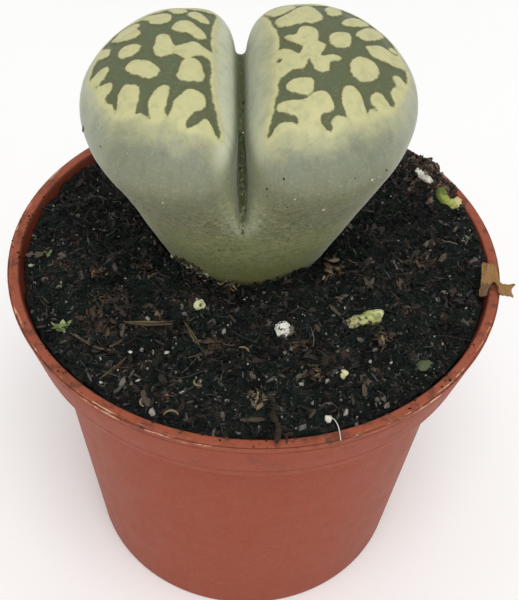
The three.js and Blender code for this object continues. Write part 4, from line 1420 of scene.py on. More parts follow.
def swell(points):
    """Slight unevenness of a grown surface, from -1 to 1."""
    x, y, z = points.T
    return (np.sin(0.42 * x + 0.31 * y + 0.5) * np.sin(0.37 * z - 0.28 * x + 1.1)
            + 0.5 * np.sin(0.9 * y + 0.8 * z) * np.sin(0.75 * x - 0.6 * z + 2.0)) / 1.5


def build_plant(settings):
    """The plant's mesh in millimetres in the part's frame, marked for its material."""
    points, faces = joined([leaf_body(LEAVES["left"]), leaf_body(LEAVES["right"]), neck_body(), web_body()])
    skin = melted(points, faces, settings.grain / MM)
    own = points_of(skin)
    corners = [list(face.vertices) for face in skin.polygons]
    tree = BVHTree.FromPolygons(placed(own).tolist(), corners)
    notes = mark_plant(tree, own)
    sunk = smooth(-0.12, 0.3, notes["window"]) * settings.relief / MM
    lift = 0.07 * swell(own) - sunk
    own = own + normals_of(skin) * lift[:, None]
    put_points(skin, placed(own) * MM)
    skin.name = "lithops"
    for name, values in notes.items():
        note(skin, name, values)
    return skin, tree


def specks_on(tree, spots, seed):
    """Specks stuck to the skin, at places that the stage camera sees."""
    random = np.random.default_rng(seed)
    hits = np.array([thrown(tree, across, down, SPECK_HOME) for across, down, _ in spots])
    sizes = 0.44 * np.array([size for _, _, size in spots])
    places = hits[:, 0] - 0.25 * sizes[:, None] * hits[:, 1]
    return crumbs(places, sizes, random, (1.3, 0.8, 0.6))


def crumbs_at_neck(tree, count, seed):
    """Peat and grit that lie up against the foot of the neck."""
    random = np.random.default_rng(seed)
    line = through([(*point, 0) for point in NECK_HEAP], 10)[:, :2]
    at = line[random.integers(0, len(line), count)] + random.uniform((-7, 0), (1, 8), (count, 2))
    hits = [tree.ray_cast(CAMERA_AT, picture_ray(*point))[0] for point in at]
    places = np.array([hit for hit in hits if hit is not None])
    sizes = 0.08 + 0.27 * random.random(len(places)) ** 2
    return crumbs(places, sizes, random, (1.2, 0.9, 0.8))


# ---------------------------------------------------------------- peat


def soil_height(x, y):
    """Height of the peat over a point of the pot's mouth, without its lumps."""
    height = SOIL_LEVEL + FRONT_RISE * smooth(8, 24, -y)
    for size, wavelength, heading, phase in SOIL_WAVES:
        along = x * math.cos(heading * DEGREE) + y * math.sin(heading * DEGREE)
        height = height + size * np.sin(TURN * along / wavelength + phase)
    for middle_x, middle_y, spread, rise in (MOUND, BANK, DISH):
        away = np.hypot(x - middle_x, y - middle_y) / spread
        height = height + rise * np.exp(-away * away / 2)
    return height


def neck_gap(points):
    """How far points of the part's frame stand clear of the plant's neck and root."""
    x, y, z = unplaced(points).T
    gap = np.hypot(x, y) - neck_radius(np.arctan2(y, x), z)
    return np.where(z < -ROOT_DEPTH, 5.0, gap)


class PeatField:
    """Height and tone of the peat on a fine square raster over the pot's mouth."""

    STEP = 0.1
    HALF = 27.0

    def __init__(self, lumps):
        axis = np.arange(-self.HALF, self.HALF + self.STEP / 2, self.STEP)
        self.x, self.y = np.meshgrid(axis, axis)
        self.rise = 0.12 * lattice_noise(self.x, self.y, 0.45, 5)
        self.rise = self.rise + 0.06 * lattice_noise(self.x, self.y, 0.2, 6)
        self.tone = np.full(self.x.shape, 0.2)
        random = np.random.default_rng(41)
        self.heap(lumps, random)
        self.height = soil_height(self.x, self.y) + self.rise

    def heap(self, lumps, random):
        """Drops tilted lumps over each other. The highest one shows."""
        half = 0.10 + 0.62 * random.random(lumps) ** 3
        half[: lumps // 80] *= 1.6
        places = self.HALF * random.uniform(-1, 1, (lumps, 2))
        turns = TURN * random.random(lumps)
        tilts = random.normal(0, 0.35, (lumps, 2))
        tones = random.random(lumps)
        for size, (x, y), turn, tilt, tone in zip(half, places, turns, tilts, tones):
            reach = int(1.5 * size / self.STEP) + 1
            column = int(round((x + self.HALF) / self.STEP))
            row = int(round((y + self.HALF) / self.STEP))
            window = np.s_[max(0, row - reach):row + reach + 1, max(0, column - reach):column + reach + 1]
            u, v = turned_2d(self.x[window] - x, self.y[window] - y, turn)
            u, v = u / (1.35 * size), v / (0.8 * size)
            away = (np.abs(u) ** 2.6 + np.abs(v) ** 2.6)
            lump = 0.75 * size * (1 - away) + size * (tilt[0] * u + tilt[1] * v) - 0.12
            higher = (away < 1) & (lump > self.rise[window])
            self.rise[window] = np.where(higher, lump, self.rise[window])
            self.tone[window] = np.where(higher, tone, self.tone[window])

    def at(self, x, y, grid):
        """A grid's value at places, blended between its points."""
        u = np.clip((np.asarray(x) + self.HALF) / self.STEP, 0, grid.shape[1] - 2)
        v = np.clip((np.asarray(y) + self.HALF) / self.STEP, 0, grid.shape[0] - 2)
        i, j = u.astype(int), v.astype(int)
        fu, fv = u - i, v - j
        low = grid[j, i] * (1 - fu) + grid[j, i + 1] * fu
        high = grid[j + 1, i] * (1 - fu) + grid[j + 1, i + 1] * fu
        return low * (1 - fv) + high * fv

    def top(self, x, y):
        return self.at(x, y, self.height)


def inside_collar(z):
    """Radius of the pot's inside at a height in the collar."""
    return LIP_INNER - (RIM_RADIUS - COLLAR_FOOT_RADIUS) / COLLAR_HEIGHT * (POT_HEIGHT - z)


def disc_grid(count):
    """Points of a round disc of radius 1, on a square grid bent to its edge."""
    axis = np.linspace(-1, 1, count)
    a, b = (grid.ravel() for grid in np.meshgrid(axis, axis))
    wide = np.abs(a) > np.abs(b)
    radius = np.where(wide, a, b)
    safe = np.where(radius == 0, 1, radius)
    angle = np.where(wide, TURN / 8 * b / safe, TURN / 4 - TURN / 8 * a / safe)
    return radius * np.cos(angle), radius * np.sin(angle)


def sink_round_neck(x, y, z, margin=0.3):
    """Lowers peat that would stand in the plant, down to a pit round its root."""
    near = np.flatnonzero(np.hypot(x - PLANT_AT[0], y - PLANT_AT[1]) < 14)
    height = z[near].copy()
    waiting = np.arange(len(near))
    for _ in range(150):
        at = near[waiting]
        gap = neck_gap(np.column_stack([x[at], y[at], height[waiting]]))
        waiting = waiting[gap < margin]
        if len(waiting) == 0:
            break
        height[waiting] -= 0.1
    z[near] = height


def peat_bed(field, count=300):
    """The filling: a lumpy top, plain sides and a flat foot."""
    u, v = disc_grid(count)
    edge = inside_collar(SOIL_LEVEL) - 0.15
    x, y = edge * u, edge * v
    z = field.top(x, y)
    sink_round_neck(x, y, z)
    tone = field.at(x, y, field.tone)
    grid = np.arange(count * count).reshape(count, count)
    faces = np.stack([grid[:-1, :-1], grid[:-1, 1:], grid[1:, 1:], grid[1:, :-1]], -1)
    faces = faces.reshape(-1, 4).tolist()
    rim = np.concatenate([grid[0, :-1], grid[:-1, -1], grid[-1, :0:-1], grid[:0:-1, 0]])
    around = np.arctan2(y[rim], x[rim])
    points = [np.column_stack([x, y, z])]
    ledge = POT_HEIGHT - COLLAR_HEIGHT + WALL + CLEARANCE
    foot = FLOOR + CLEARANCE
    start = count * count
    above = rim
    sides = [
        (inside_collar(ledge) - CLEARANCE, ledge),
        (wall_radius(ledge) - WALL - CLEARANCE, ledge),
        (wall_radius(foot) - WALL - CLEARANCE, foot),
    ]
    for radius, level in sides:
        points.append(circle(radius, around, level))
        below = start + np.arange(len(rim))
        faces.extend(np.stack([above, below, np.roll(below, -1), np.roll(above, -1)], 1).tolist())
        above = below
        start += len(rim)
    faces.append(above[::-1].tolist())
    tones = np.concatenate([tone, np.full(start - count * count, 0.2)])
    return np.vstack(points), faces, tones


def barky(x, y):
    """How much bark lies round a place, from 0 to 1."""
    near = [np.exp(-((x - cx) ** 2 + (y - cy) ** 2) / spread ** 2) for cx, cy, spread in BARK_PATCHES]
    return np.max(near, 0)


def free_places(field, count, random, sizes, edge=0.4, gathered=0.0):
    """Random places on the peat, clear of the pot's wall, of the neck and of the single bits."""
    reach = inside_collar(SOIL_LEVEL) - edge
    radius = reach * np.sqrt(random.random(count))
    angle = TURN * random.random(count)
    x, y = radius * np.cos(angle), radius * np.sin(angle)
    z = field.top(x, y)
    free = neck_gap(np.column_stack([x, y, z])) > 0.35 * sizes
    free &= radius + 0.8 * sizes < inside_collar(SOIL_LEVEL)
    free &= random.random(count) < 1 - gathered * (1 - barky(x, y))
    for spot_x, spot_y, spot_radius in CLEAR_SPOTS:
        free &= np.hypot(x - spot_x, y - spot_y) > spot_radius + 0.3 * sizes
    return np.column_stack([x, y, z]), np.flatnonzero(free)


def strewn(field, count, seed, size, stretch=(1, 1, 1), power=3.0, sunk=0.1, flat=False, gathered=0.0):
    """Crumbs strewn over the peat, from the smallest to the largest given size."""
    random = np.random.default_rng(seed)
    sizes = size[0] + (size[1] - size[0]) * random.random(count) ** power
    places, free = free_places(field, count, random, sizes, 0.4, gathered)
    places, sizes = places[free], sizes[free]
    places[:, 2] += sizes * (0.5 * min(stretch) - sunk)
    turns = lying_turns(len(free), random, 0.45) if flat else None
    return crumbs(places, sizes, random, stretch, 0.25, turns)


def lying_turns(count, random, tilt):
    """Rotation matrices of flakes that lie about flat."""
    turns = []
    for heading, lean, roll in zip(TURN * random.random(count), *random.normal(0, tilt, (2, count))):
        turn = Matrix.Rotation(heading, 3, "Z") @ Matrix.Rotation(lean, 3, "X")
        turns.append(np.array(turn @ Matrix.Rotation(roll, 3, "Y")))
    return np.array(turns)


def heaped(count, seed):
    """Crumbs piled against and over the pot's lip at the back right."""
    random = np.random.default_rng(seed)
    angle = (24 + np.abs(random.normal(13, 9, count))) * DEGREE
    radius = np.clip(random.normal(24.3, 1.4, count), 20.5, 25.5 + 0.12 * (angle / DEGREE - 24).clip(0, 11))
    x, y = radius * np.cos(angle), radius * np.sin(angle)
    middle = np.exp(-((angle / DEGREE - 36) / 10) ** 2) * np.exp(-((radius - 24.4) / 2.2) ** 2)
    size = 0.12 + 0.42 * random.random(count) ** 2.5
    ground = np.where(radius > 26.0, POT_HEIGHT + 0.35 * size, soil_height(x, y))
    z = np.maximum(ground, POT_HEIGHT - 0.8) + 0.5 * middle * random.random(count)
    return crumbs(np.column_stack([x, y, z]), size, random, (1.2, 0.9, 0.7))


def lip_dirt(seed):
    """Specks of peat fallen on the lip."""
    random = np.random.default_rng(seed)
    angles = np.concatenate([random.normal(at, spread, n) for at, spread, n in LIP_SPECKS]) * DEGREE
    radius = LIP_INNER + 1.1 * random.random(len(angles)) ** 1.6
    size = 0.04 + 0.14 * random.random(len(angles)) ** 2
    places = np.column_stack([radius * np.cos(angles), radius * np.sin(angles), POT_HEIGHT + 0.3 * size])
    return crumbs(places, size, random, (1.2, 0.9, 0.6))


def strands(field, count, seed, length, radius, lift=0.15):
    """Fine fibres that lie over the lumps."""
    random = np.random.default_rng(seed)
    places, free = free_places(field, count, random, np.full(count, 0.8), 1.5, 0.7)
    bodies, tones = [], []
    for x, y, _ in places[free]:
        reach = length[0] + (length[1] - length[0]) * random.random() ** 2
        heading = TURN * random.random()
        bend = random.normal(0, 0.9)
        steps = np.linspace(-0.5, 0.5, 7)
        turn = heading + bend * steps
        line_x = x + reach * steps * np.cos(turn)
        line_y = y + reach * steps * np.sin(turn)
        away = np.hypot(line_x, line_y)
        shrink = np.minimum(1, FIBRE_REACH / away)
        line_x, line_y = line_x * shrink, line_y * shrink
        line_z = field.top(line_x, line_y)
        line_z = 0.6 * line_z + 0.4 * line_z.max() + lift * random.random()
        line = np.column_stack([line_x, line_y, line_z])
        if neck_gap(line).min() < 0.3:
            continue
        thick = radius[0] + (radius[1] - radius[0]) * random.random() ** 2
        bodies.append(tube(line, thick * np.array([0.5, 1, 1, 1, 1, 0.8, 0.4]), 4))
        tones.append(random.random())
    return with_tones(bodies, tones)


def on_peat(field, across, down):
    """The point of the peat that the stage camera sees at a point of its picture."""
    ray = picture_ray(across, down)
    level = SOIL_LEVEL
    for _ in range(6):
        at = CAMERA_AT + ray * ((level - CAMERA_AT.z) / ray.z)
        level = float(field.top(at.x, at.y))
    return at


def single_grains(field):
    """The pale grains that stand out one by one."""
    random = np.random.default_rng(61)
    places = np.array([on_peat(field, across, down) for across, down, _ in PALE_GRAINS])
    sizes = 0.5 * np.array([size for _, _, size in PALE_GRAINS])
    places[:, 2] += 0.35 * sizes
    points, faces, owner = scattered(places, 1.1 * sizes, random, (1.25, 0.9, 0.75), 0.45)
    tones = random.uniform(0.3, 0.95, len(sizes)) - 0.3 * (sizes > 0.28)
    return points, faces, tones[owner]


def curled_fibres(field):
    """Pale fibres that lie in an arc."""
    bodies = []
    for across, down, radius, start, sweep in CURLS:
        middle = on_peat(field, across, down)
        angle = (start + sweep * np.linspace(0, 1, 14)) * DEGREE
        x, y = middle.x + radius * np.cos(angle), middle.y + radius * np.sin(angle)
        z = np.full(14, float(field.top(x, y).max())) + 0.05
        bodies.append(tube(np.column_stack([x, y, z]), 0.13 * np.sin(np.linspace(0.5, 2.7, 14)), 8))
    return with_tones(bodies, [0.9] * len(bodies))


def seed_and_thread(field):
    """A white seed with a fine thread that hangs over the front lip."""
    head = on_peat(field, *WHITE_SEED)
    seed_points, seed_faces, _ = lumpy(HALF_SIZES["white_seed"], 3, 71)
    over_lip = POT_HEIGHT + 0.12
    thread = through([
        (head.x + 0.3, head.y - 0.1, head.z + 0.45), (8.6, -23.4, head.z + 0.8),
        (8.95, -24.3, over_lip + 0.3), (9.15, -25.0, over_lip + 0.1), (9.25, -25.9, over_lip),
    ], 8)
    seed = (seed_points + np.array([head.x, head.y, head.z + 0.3]), seed_faces)
    return with_tones([seed, tube(thread, 0.05, 6)], [1.0, 1.0])


def long_hairs(field):
    """Long fine hairs on the peat, from points in plan."""
    bodies = []
    for plan, radius in HAIRS:
        line = through([(x, y, float(field.top(x, y)) + 0.45) for x, y in plan], 8)
        bodies.append(tube(line, radius, 5))
    return with_tones(bodies, [0.7] * len(bodies))


def shreds(field):
    """Torn flakes of brown and tan bark that stand out from the peat."""
    random = np.random.default_rng(67)
    each = 24
    middles = np.array([on_peat(field, across, down) for across, down, _, _ in SHREDS]).repeat(each, 0)
    size, tone = np.array([values[2:] for values in SHREDS]).repeat(each, 0).T
    places = middles + random.normal(0, 0.4, (len(size), 3)) * size[:, None] * (1, 1, 0.3)
    places[:, 2] += 0.15 * size
    turns = lying_turns(len(size), random, 0.5)
    sizes = size * random.uniform(0.08, 0.26, len(size))
    points, faces, owner = scattered(places, sizes, random, (1.6, 0.6, 0.16), 0.35, turns, 2)
    tones = np.clip(tone - 0.12 + random.normal(0, 0.25, len(size)), 0, 1)
    return points, faces, tones[owner]


def tile(name, parts, material, slot, *nodes, faceted=True):
    """A piece from points in millimetres, faces and the tone at each point, and the nodes it replaces."""
    points, faces, tones = parts
    mesh = as_mesh(name, points, faces)
    note(mesh, "tone", tones)
    return piece(name, mesh, material, nodes, faceted)


# ---------------------------------------------------------------- single bits on the peat


def lumpy(half, detail, seed, waves=((2.0, 0.10), (4.5, 0.05), (9.0, 0.025))):
    """A lumpy ball with half sizes in millimetres, round the origin."""
    ball, faces = round_lump(detail)
    random = np.random.default_rng(seed)
    rise = np.zeros(len(ball))
    for pitch, size in waves:
        for _ in range(4):
            heading = random.normal(size=3)
            heading *= pitch * random.uniform(0.7, 1.3) / np.linalg.norm(heading)
            rise += size * np.sin(ball @ heading * 2 + TURN * random.random())
    return ball * (1 + rise)[:, None] * np.asarray(half), faces, ball


def seated(points, seat, lift):
    """Points turned about Z and set down on the peat at a place."""
    x, y, turn = seat
    across, along = turned_2d(points[:, 0], points[:, 1], turn * DEGREE)
    base = soil_height(np.array([x]), np.array([y]))[0]
    return np.column_stack([x + across, y + along, base + lift + points[:, 2]])


def perlite_crumb(name, seed):
    """A rough crumb of perlite, half sunk in the peat."""
    half = HALF_SIZES[name]
    points, faces, ball = lumpy(half, 5, seed, ((1.6, 0.07), (3.4, 0.05), (8.0, 0.03), (17.0, 0.012)))
    return seated(points, SEATS[name], half[2] * 0.6), faces, ball[:, 2] * 0.5 + 0.5


def husk():
    """A creased seed husk, thicker at one end."""
    half = HALF_SIZES["seed_husk"]
    points, faces, ball = lumpy(half, 5, 11, ((1.2, 0.03), (3.0, 0.03), (7.0, 0.02)))
    along = ball[:, 0]
    blunt = (1 - np.abs(along) ** 3.2).clip(1e-6) ** (1 / 3.2) / np.sqrt(1 - along ** 2).clip(1e-3)
    waist = 0.9 + 0.1 * along - 0.12 * np.exp(-((along + 0.05) / 0.25) ** 2) + 0.03 * np.sin(9 * along)
    points[:, 1:] *= (blunt.clip(1, 2.2) * waist)[:, None]
    return seated(points, SEATS["seed_husk"], half[2] * 0.6), faces, 0.5 + 0.5 * along


def leaflet(reach, width, curl, cup):
    """A thin curled leaflet from its foot, closed all round."""
    u = np.linspace(0, 1, 15)
    v = np.linspace(-1, 1, 9)
    rings = []
    for share in u:
        half = width * max(0.03, math.sin(math.pi * min(1, share ** 0.8 * 0.97)))
        turn = curl * share
        x = reach * share * math.cos(turn * 0.5)
        z = reach * share * math.sin(turn * 0.5)
        top = [(x, half * k, z + cup * half * k * k + 0.03) for k in v]
        under = [(x, half * k, z + cup * half * k * k - 0.03) for k in v[::-1]]
        rings.append(top + under)
    return lofted(rings)


def tuft(name):
    """A tuft of small curled leaflets."""
    leaflets, seed, size = TUFTS[name]
    random = np.random.default_rng(seed)
    bodies, tones = [], []
    for k in range(leaflets):
        points, faces = leaflet(
            size * random.uniform(0.6, 1.1), size * random.uniform(0.16, 0.3),
            random.uniform(0.3, 1.5), random.uniform(0.1, 0.6),
        )
        heading = TURN * (k / leaflets) + random.normal(0, 0.4)
        foot = random.normal(0, 0.2 * size, 2)
        across, along = turned_2d(points[:, 0], points[:, 1], heading)
        points = np.column_stack([across + foot[0], 0.7 * (along + foot[1]), points[:, 2] + 0.15 * size])
        bodies.append((points, faces))
        tones.append(random.random())
    core = lumpy((0.55 * size, 0.4 * size, 0.3 * size), 3, seed + 1)
    points, faces, tones = with_tones([*bodies, core[:2]], [*tones, 0.3])
    return seated(points, SEATS[name], 0.1), faces, tones


def moss_pad():
    """A lumpy cushion of moss in a bend, green at one end and buff at the other."""
    random = np.random.default_rng(13)
    line = through([(*point, 0) for point in MOSS_LINE], 3)
    bodies, tones = [], []
    for share, (x, y, _) in zip(np.linspace(0, 1, len(line)), line):
        size = random.uniform(0.45, 0.64)
        waves = ((2.5, 0.06), (7.0, 0.06), (13.0, 0.05))
        points, faces, ball = lumpy((size, size, 0.9 * size), 3, int(1000 * size), waves)
        bodies.append((seated(points, (x, y, 0), 0.3), faces))
        # Buff towards one end; each lump is also lighter towards its top, a painted highlight.
        tones.append(np.clip(1.5 * share + 0.35 * ball[:, 2] - 0.3, 0, 1))
    return with_tones(bodies, tones)


def ring_pebble():
    """A small pale pebble with a dimple."""
    points, faces, ball = lumpy(HALF_SIZES["ring_pebble"], 5, 17, ((1.8, 0.05), (4.0, 0.03)))
    dimple = np.exp(-((ball - np.array([0.35, -0.45, 0.82])) ** 2).sum(1) / 0.12)
    points -= 0.4 * dimple[:, None] * ball
    # The dimple is painted dark: painted shade in the hollow.
    return seated(points, SEATS["ring_pebble"], 0.34), faces, (1 - 1.1 * dimple).clip(0, 1)


def flat_chip():
    """A flat olive chip, half sunk in the peat."""
    waves = ((1.4, 0.06), (4.0, 0.04), (9.0, 0.03))
    points, faces, ball = lumpy(HALF_SIZES["olive_chip"], 4, 37, waves)
    return seated(points, SEATS["olive_chip"], 0.3), faces, 0.4 + 0.3 * ball[:, 1] * ball[:, 0]


def two_lobed_grain():
    """A bright grain of two lobes that have grown together."""
    lobes = []
    for x, size, seed in ((-0.24, 0.46, 19), (0.27, 0.42, 20)):
        points, faces, _ = lumpy((size, size * 1.15, size * 1.05), 4, seed, ((1.8, 0.05), (5.0, 0.02)))
        lobes.append((points + np.array([x, 0, 0]), faces))
    points, faces = joined(lobes)
    return seated(points, SEATS["cream_seed"], 0.22), faces, np.linspace(0, 1, len(points))


def bark_twig_body():
    """The twig that lies over the front lip, cracked and bent."""
    over_lip = POT_HEIGHT + CLEARANCE + 0.45
    line = through([
        (2.2, -19.6, soil_height(2.2, -19.6) + 0.3),
        (2.9, -21.4, soil_height(2.9, -21.4) + 0.35),
        (2.6, -23.2, soil_height(2.6, -23.2) + 0.55),
        (3.2, -24.9, over_lip - 0.2),
        (3.1, -27.0, over_lip),
    ], 12)
    step = np.arange(len(line))
    radii = 0.28 * (1 + 0.2 * np.sin(1.3 * step) + 0.18 * np.sin(0.47 * step + 1))
    radii[0] = radii[-1] = 0.16
    points, faces = tube(line, radii, 14)
    rough = 0.05 * lattice_noise(7 * points[:, 0] + 2 * points[:, 2], 3 * points[:, 1], 1.0, 3)
    points[:, 2] += rough
    points[:, 0] += rough
    return points, faces, 0.5 + 5 * rough


def scrap_frame():
    """How the scrap of leaf is turned, and where it lies."""
    along = Vector((0.1, 0.98, 0.14)).normalized()
    outward = Vector((0.99, -0.1, 0.0))
    outward = (outward - along * outward.dot(along)).normalized()
    up = outward.cross(along)
    turn = Matrix((along, outward, -up)).transposed()
    return np.array(turn), np.array(SCRAP_SEAT)


def leaf_scrap():
    """A dry scrap of leaf that lies along the lip, with a torn tongue."""
    outline = rounded(SCRAP_OUTLINE, 4)
    step = 0.07
    axis_x = np.arange(-3.1, 2.1, step)
    axis_y = np.arange(-1.3, 3.1, step)
    x, y = np.meshgrid(axis_x, axis_y)
    flat = np.column_stack([x.ravel(), y.ravel()])
    wobble = 0.05 * lattice_noise(flat[:, 0], flat[:, 1], 0.25, 8)
    kept = (depth_inside(flat, outline, 1) + wobble > 0).reshape(x.shape)
    cells = kept[:-1, :-1] & kept[1:, :-1] & kept[:-1, 1:] & kept[1:, 1:]
    bend = 0.16 * np.sin(1.3 * flat[:, 0] + 0.6) + 0.12 * np.sin(1.9 * flat[:, 1]) + wobble * 0.6
    half = 0.11 + 0.03 * np.sin(9 * flat[:, 1] + 2 * flat[:, 0])
    count = len(flat)
    points = np.vstack([np.column_stack([flat, bend + half]), np.column_stack([flat, bend - half])])
    grid = np.arange(count).reshape(x.shape)
    faces = []
    for j, i in zip(*np.nonzero(cells)):
        square = [grid[j, i], grid[j, i + 1], grid[j + 1, i + 1], grid[j + 1, i]]
        faces.append(square)
        faces.append([count + k for k in square[::-1]])
    edges = {}
    for face in faces[::2]:
        for a, b in zip(face, face[1:] + face[:1]):
            edges[(a, b)] = 1
    for a, b in list(edges):
        if (b, a) not in edges:
            faces.append([b, a, count + a, count + b])
    used = np.unique(np.concatenate([np.array(f) for f in faces]))
    new = np.full(len(points), -1)
    new[used] = np.arange(len(used))
    faces = [[int(new[k]) for k in face] for face in faces]
    turn, seat = scrap_frame()
    fibre = lattice_noise(0.7 * flat[:, 0], 9 * flat[:, 1], 1.0, 12) + 0.6 * lattice_noise(*flat.T, 0.9, 13)
    # Darker towards the left end and along the lower edge: partly dirt, partly painted shade.
    dirt_and_shade = 0.45 * smooth(-0.8, -1.6, flat[:, 0]) * smooth(0.6, 0.2, flat[:, 1])
    dirt_and_shade = dirt_and_shade + 0.2 * smooth(-0.7, -0.9, flat[:, 1])
    tone = np.tile(0.45 + 0.28 * fibre - dirt_and_shade, 2)[used]
    return points[used] @ turn.T + seat, [f[::-1] for f in faces], tone


def straw_bodies(field):
    """Dry stalks, each a bundle of a few strands that fray at the ends."""
    random = np.random.default_rng(73)
    bodies, tones = [], []
    for ends, radius in STRAWS:
        plan = through([(*on_peat(field, *spot)[:2], 0) for spot in ends], 10)
        height = field.top(plan[:, 0], plan[:, 1])
        ease = np.convolve(np.pad(height, 4, "edge"), np.ones(9) / 9, "valid")
        line = np.column_stack([plan[:, 0], plan[:, 1], 0.5 * ease + 0.5 * height.max() + 0.1])
        for _ in range(6):
            first, last = random.integers(0, len(line) // 3, 2)
            strand = line[first:len(line) - last]
            sway = random.normal(0, 0.4 * radius, (3, 3))
            share = np.linspace(0, 1, len(strand))[:, None]
            strand = strand + sway[0] * (1 - share) + sway[1] * share + sway[2] * np.sin(math.pi * share)
            radii = 0.36 * radius * (0.8 + 0.25 * np.sin(7 * share[:, 0] + random.uniform(0, 6)))
            radii[[0, -1]] = 0.15 * radius
            bodies.append(tube(strand, radii, 7))
            tones.append(random.uniform(0.1, 0.9))
    return with_tones(bodies, tones)


# ---------------------------------------------------------------- operators


class LithopsPlant(bpy.types.Operator):
    """Makes the plant's skin, with its cleft, windows and islands"""

    bl_idname = "lithops.plant"
    bl_label = "Plant"

    def execute(self, context):
        settings = context.scene.lithops_plant
        skin, tree = build_plant(settings)
        dirt = specks_on(tree, SKIN_DIRT, 81)
        flakes = specks_on(tree, SKIN_FLAKES, 82)
        heap = crumbs_at_neck(tree, NECK_CRUMBS, 83)
        piece("living_stone", skin, lithops_skin(settings), ["lithops"])
        tile("dirt_on_plant", dirt, crumb_surface("dirt"), "peat")
        tile("flakes_on_plant", flakes, crumb_surface("flake"), "pale_grain")
        tile("crumbs_at_neck", heap, crumb_surface("neck crumbs"), "peat")
        return {"FINISHED"}


class LithopsPot(bpy.types.Operator):
    """Makes the round plastic pot with its stepped collar and drainage holes"""

    bl_idname = "lithops.pot"
    bl_label = "Pot"

    def execute(self, context):
        settings = context.scene.lithops_pot
        body = as_mesh("pot", *spun(pot_profile(), settings.segments))
        drilled_pot = drilled(body, as_mesh("drills", *drain_drills()))
        # The inner wall's mask, for painted shade.
        note(drilled_pot, "inside", inner_wall_shade(points_of(drilled_pot) / MM))
        piece("nursery_pot", drilled_pot, terracotta_plastic(settings), ["pot"])
        return {"FINISHED"}


class LithopsPeat(bpy.types.Operator):
    """Makes the gritty peat: its lumps, crumbs, bark flakes, grit and fibres"""

    bl_idname = "lithops.peat"
    bl_label = "Peat"

    def execute(self, context):
        look = context.scene.lithops_peat
        field = PeatField(look.lumps)
        peat = peat_surface(look)
        bark, straw = crumb_surface("bark"), crumb_surface("straw")
        fibre, grain = crumb_surface("fibre"), crumb_surface("pale grain", look.pale)
        fibres = strands(field, look.fibres, 54, FIBRE_LENGTH, FIBRE_RADIUS)
        tile("peat_bed", peat_bed(field), peat, "peat", "soil", faceted=False)
        for name, count, surface, slot in (
            ("peat_crumbs", look.crumbs, peat, "peat"),
            ("bark_flakes", look.flakes, bark, "bark"),
            ("peat_chips", look.chips, crumb_surface("chips"), "peat"),
            ("grit", look.grit, crumb_surface("grit"), "pale_grain"),
        ):
            tile(name, strewn(field, count, **STREWN[name]), surface, slot)
        tile("pale_grains", single_grains(field), grain, "pale_grain")
        tile("fibres", fibres, fibre, "bark", faceted=False)
        tile("hairs", long_hairs(field), fibre, "bark", faceted=False)
        tile("curled_fibres", curled_fibres(field), straw, "bark", faceted=False)
        tile("shreds", shreds(field), crumb_surface("shred"), "bark", faceted=False)
        tile("seed_and_thread", seed_and_thread(field), grain, "pale_grain", faceted=False)
        tile("straws", straw_bodies(field), straw, "bark", faceted=False)
        tile("heap_on_lip", heaped(HEAP_CRUMBS, 55), crumb_surface("heap"), "peat")
        tile("dirt_on_lip", lip_dirt(56), bark, "bark")
        return {"FINISHED"}


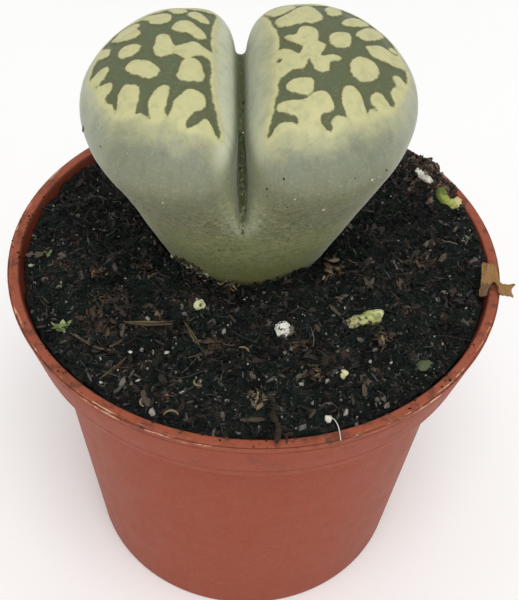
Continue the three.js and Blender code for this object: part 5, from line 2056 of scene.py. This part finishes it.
class LithopsBits(bpy.types.Operator):
    """Makes the single bits that lie on the peat: perlite, husk, moss, grains, twig and leaf scrap"""

    bl_idname = "lithops.bits"
    bl_label = "Bits on the peat"

    def execute(self, context):
        white = perlite_surface("perlite", 0.95, 0.1)
        dusty = perlite_surface("dusty perlite", 0.25, 0.5)
        green, sage = crumb_surface("green shoots"), crumb_surface("sage shoots")
        large, small = perlite_crumb("perlite_large", 3), perlite_crumb("perlite_small", 5)
        tile("perlite_large", large, white, "perlite", "perlite_crumb_large")
        tile("perlite_small", small, dusty, "perlite", "perlite_crumb_small")
        for name, parts, surface, slot, *nodes in (
            ("seed_husk", husk(), husk_surface(), "green_husk", "green_husk"),
            ("moss", moss_pad(), crumb_surface("moss"), "moss", "moss_tuft"),
            ("green_shoots_left", tuft("green_shoots_left"), green, "moss"),
            ("green_shoots_back", tuft("green_shoots_back"), green, "moss"),
            ("green_shoots_right", tuft("green_shoots_right"), sage, "moss"),
            ("olive_chip", flat_chip(), crumb_surface("olive chip"), "moss"),
            ("ring_pebble", ring_pebble(), crumb_surface("ring"), "pale_grain", "pale_pebble"),
            ("cream_seed", two_lobed_grain(), crumb_surface("cream grain"), "pale_grain", "cream_grain"),
            ("twig", bark_twig_body(), crumb_surface("twig bark"), "bark", "bark_twig"),
            ("leaf_scrap", leaf_scrap(), crumb_surface("dry leaf"), "dry_leaf", "dry_leaf_scrap"),
        ):
            tile(name, parts, surface, slot, *nodes, faceted=False)
        return {"FINISHED"}


class LithopsStage(bpy.types.Operator):
    """Makes the pale floor, the soft studio light and the camera"""

    bl_idname = "lithops.stage"
    bl_label = "Stage"

    def execute(self, context):
        make_floor()
        light_world()
        make_softbox("key", KEY_AT, KEY_AIM, KEY_SIZE, KEY_POWER)
        make_camera()
        return {"FINISHED"}


class LithopsPanel(bpy.types.Panel):
    """Lists the settings and the buttons"""

    bl_idname = "VIEW3D_PT_lithops"
    bl_label = "Potted lithops"
    bl_space_type = "VIEW_3D"
    bl_region_type = "UI"
    bl_category = "Lithops"

    def draw(self, context):
        for name, operator in (("lithops_pot", LithopsPot), ("lithops_peat", LithopsPeat),
                               ("lithops_plant", LithopsPlant)):
            box = self.layout.box()
            settings = getattr(context.scene, name)
            for setting in settings.__annotations__:
                box.prop(settings, setting)
            box.operator(operator.bl_idname)
        self.layout.operator(LithopsBits.bl_idname)
        self.layout.operator(LithopsStage.bl_idname)


SETTINGS = {"lithops_pot": PotSettings, "lithops_peat": PeatSettings, "lithops_plant": PlantSettings}
OPERATORS = [LithopsPot, LithopsPeat, LithopsPlant, LithopsBits, LithopsStage]
CLASSES = [*SETTINGS.values(), *OPERATORS, LithopsPanel]


def register():
    for made in CLASSES:
        bpy.utils.register_class(made)
    for name, settings in SETTINGS.items():
        setattr(bpy.types.Scene, name, bpy.props.PointerProperty(type=settings))


def unregister():
    for name in SETTINGS:
        delattr(bpy.types.Scene, name)
    for made in reversed(CLASSES):
        bpy.utils.unregister_class(made)


def main():
    register()
    bpy.ops.lithops.pot()
    bpy.ops.lithops.peat()
    bpy.ops.lithops.plant()
    bpy.ops.lithops.bits()
    bpy.ops.lithops.stage()


if __name__ == "__main__":
    main()
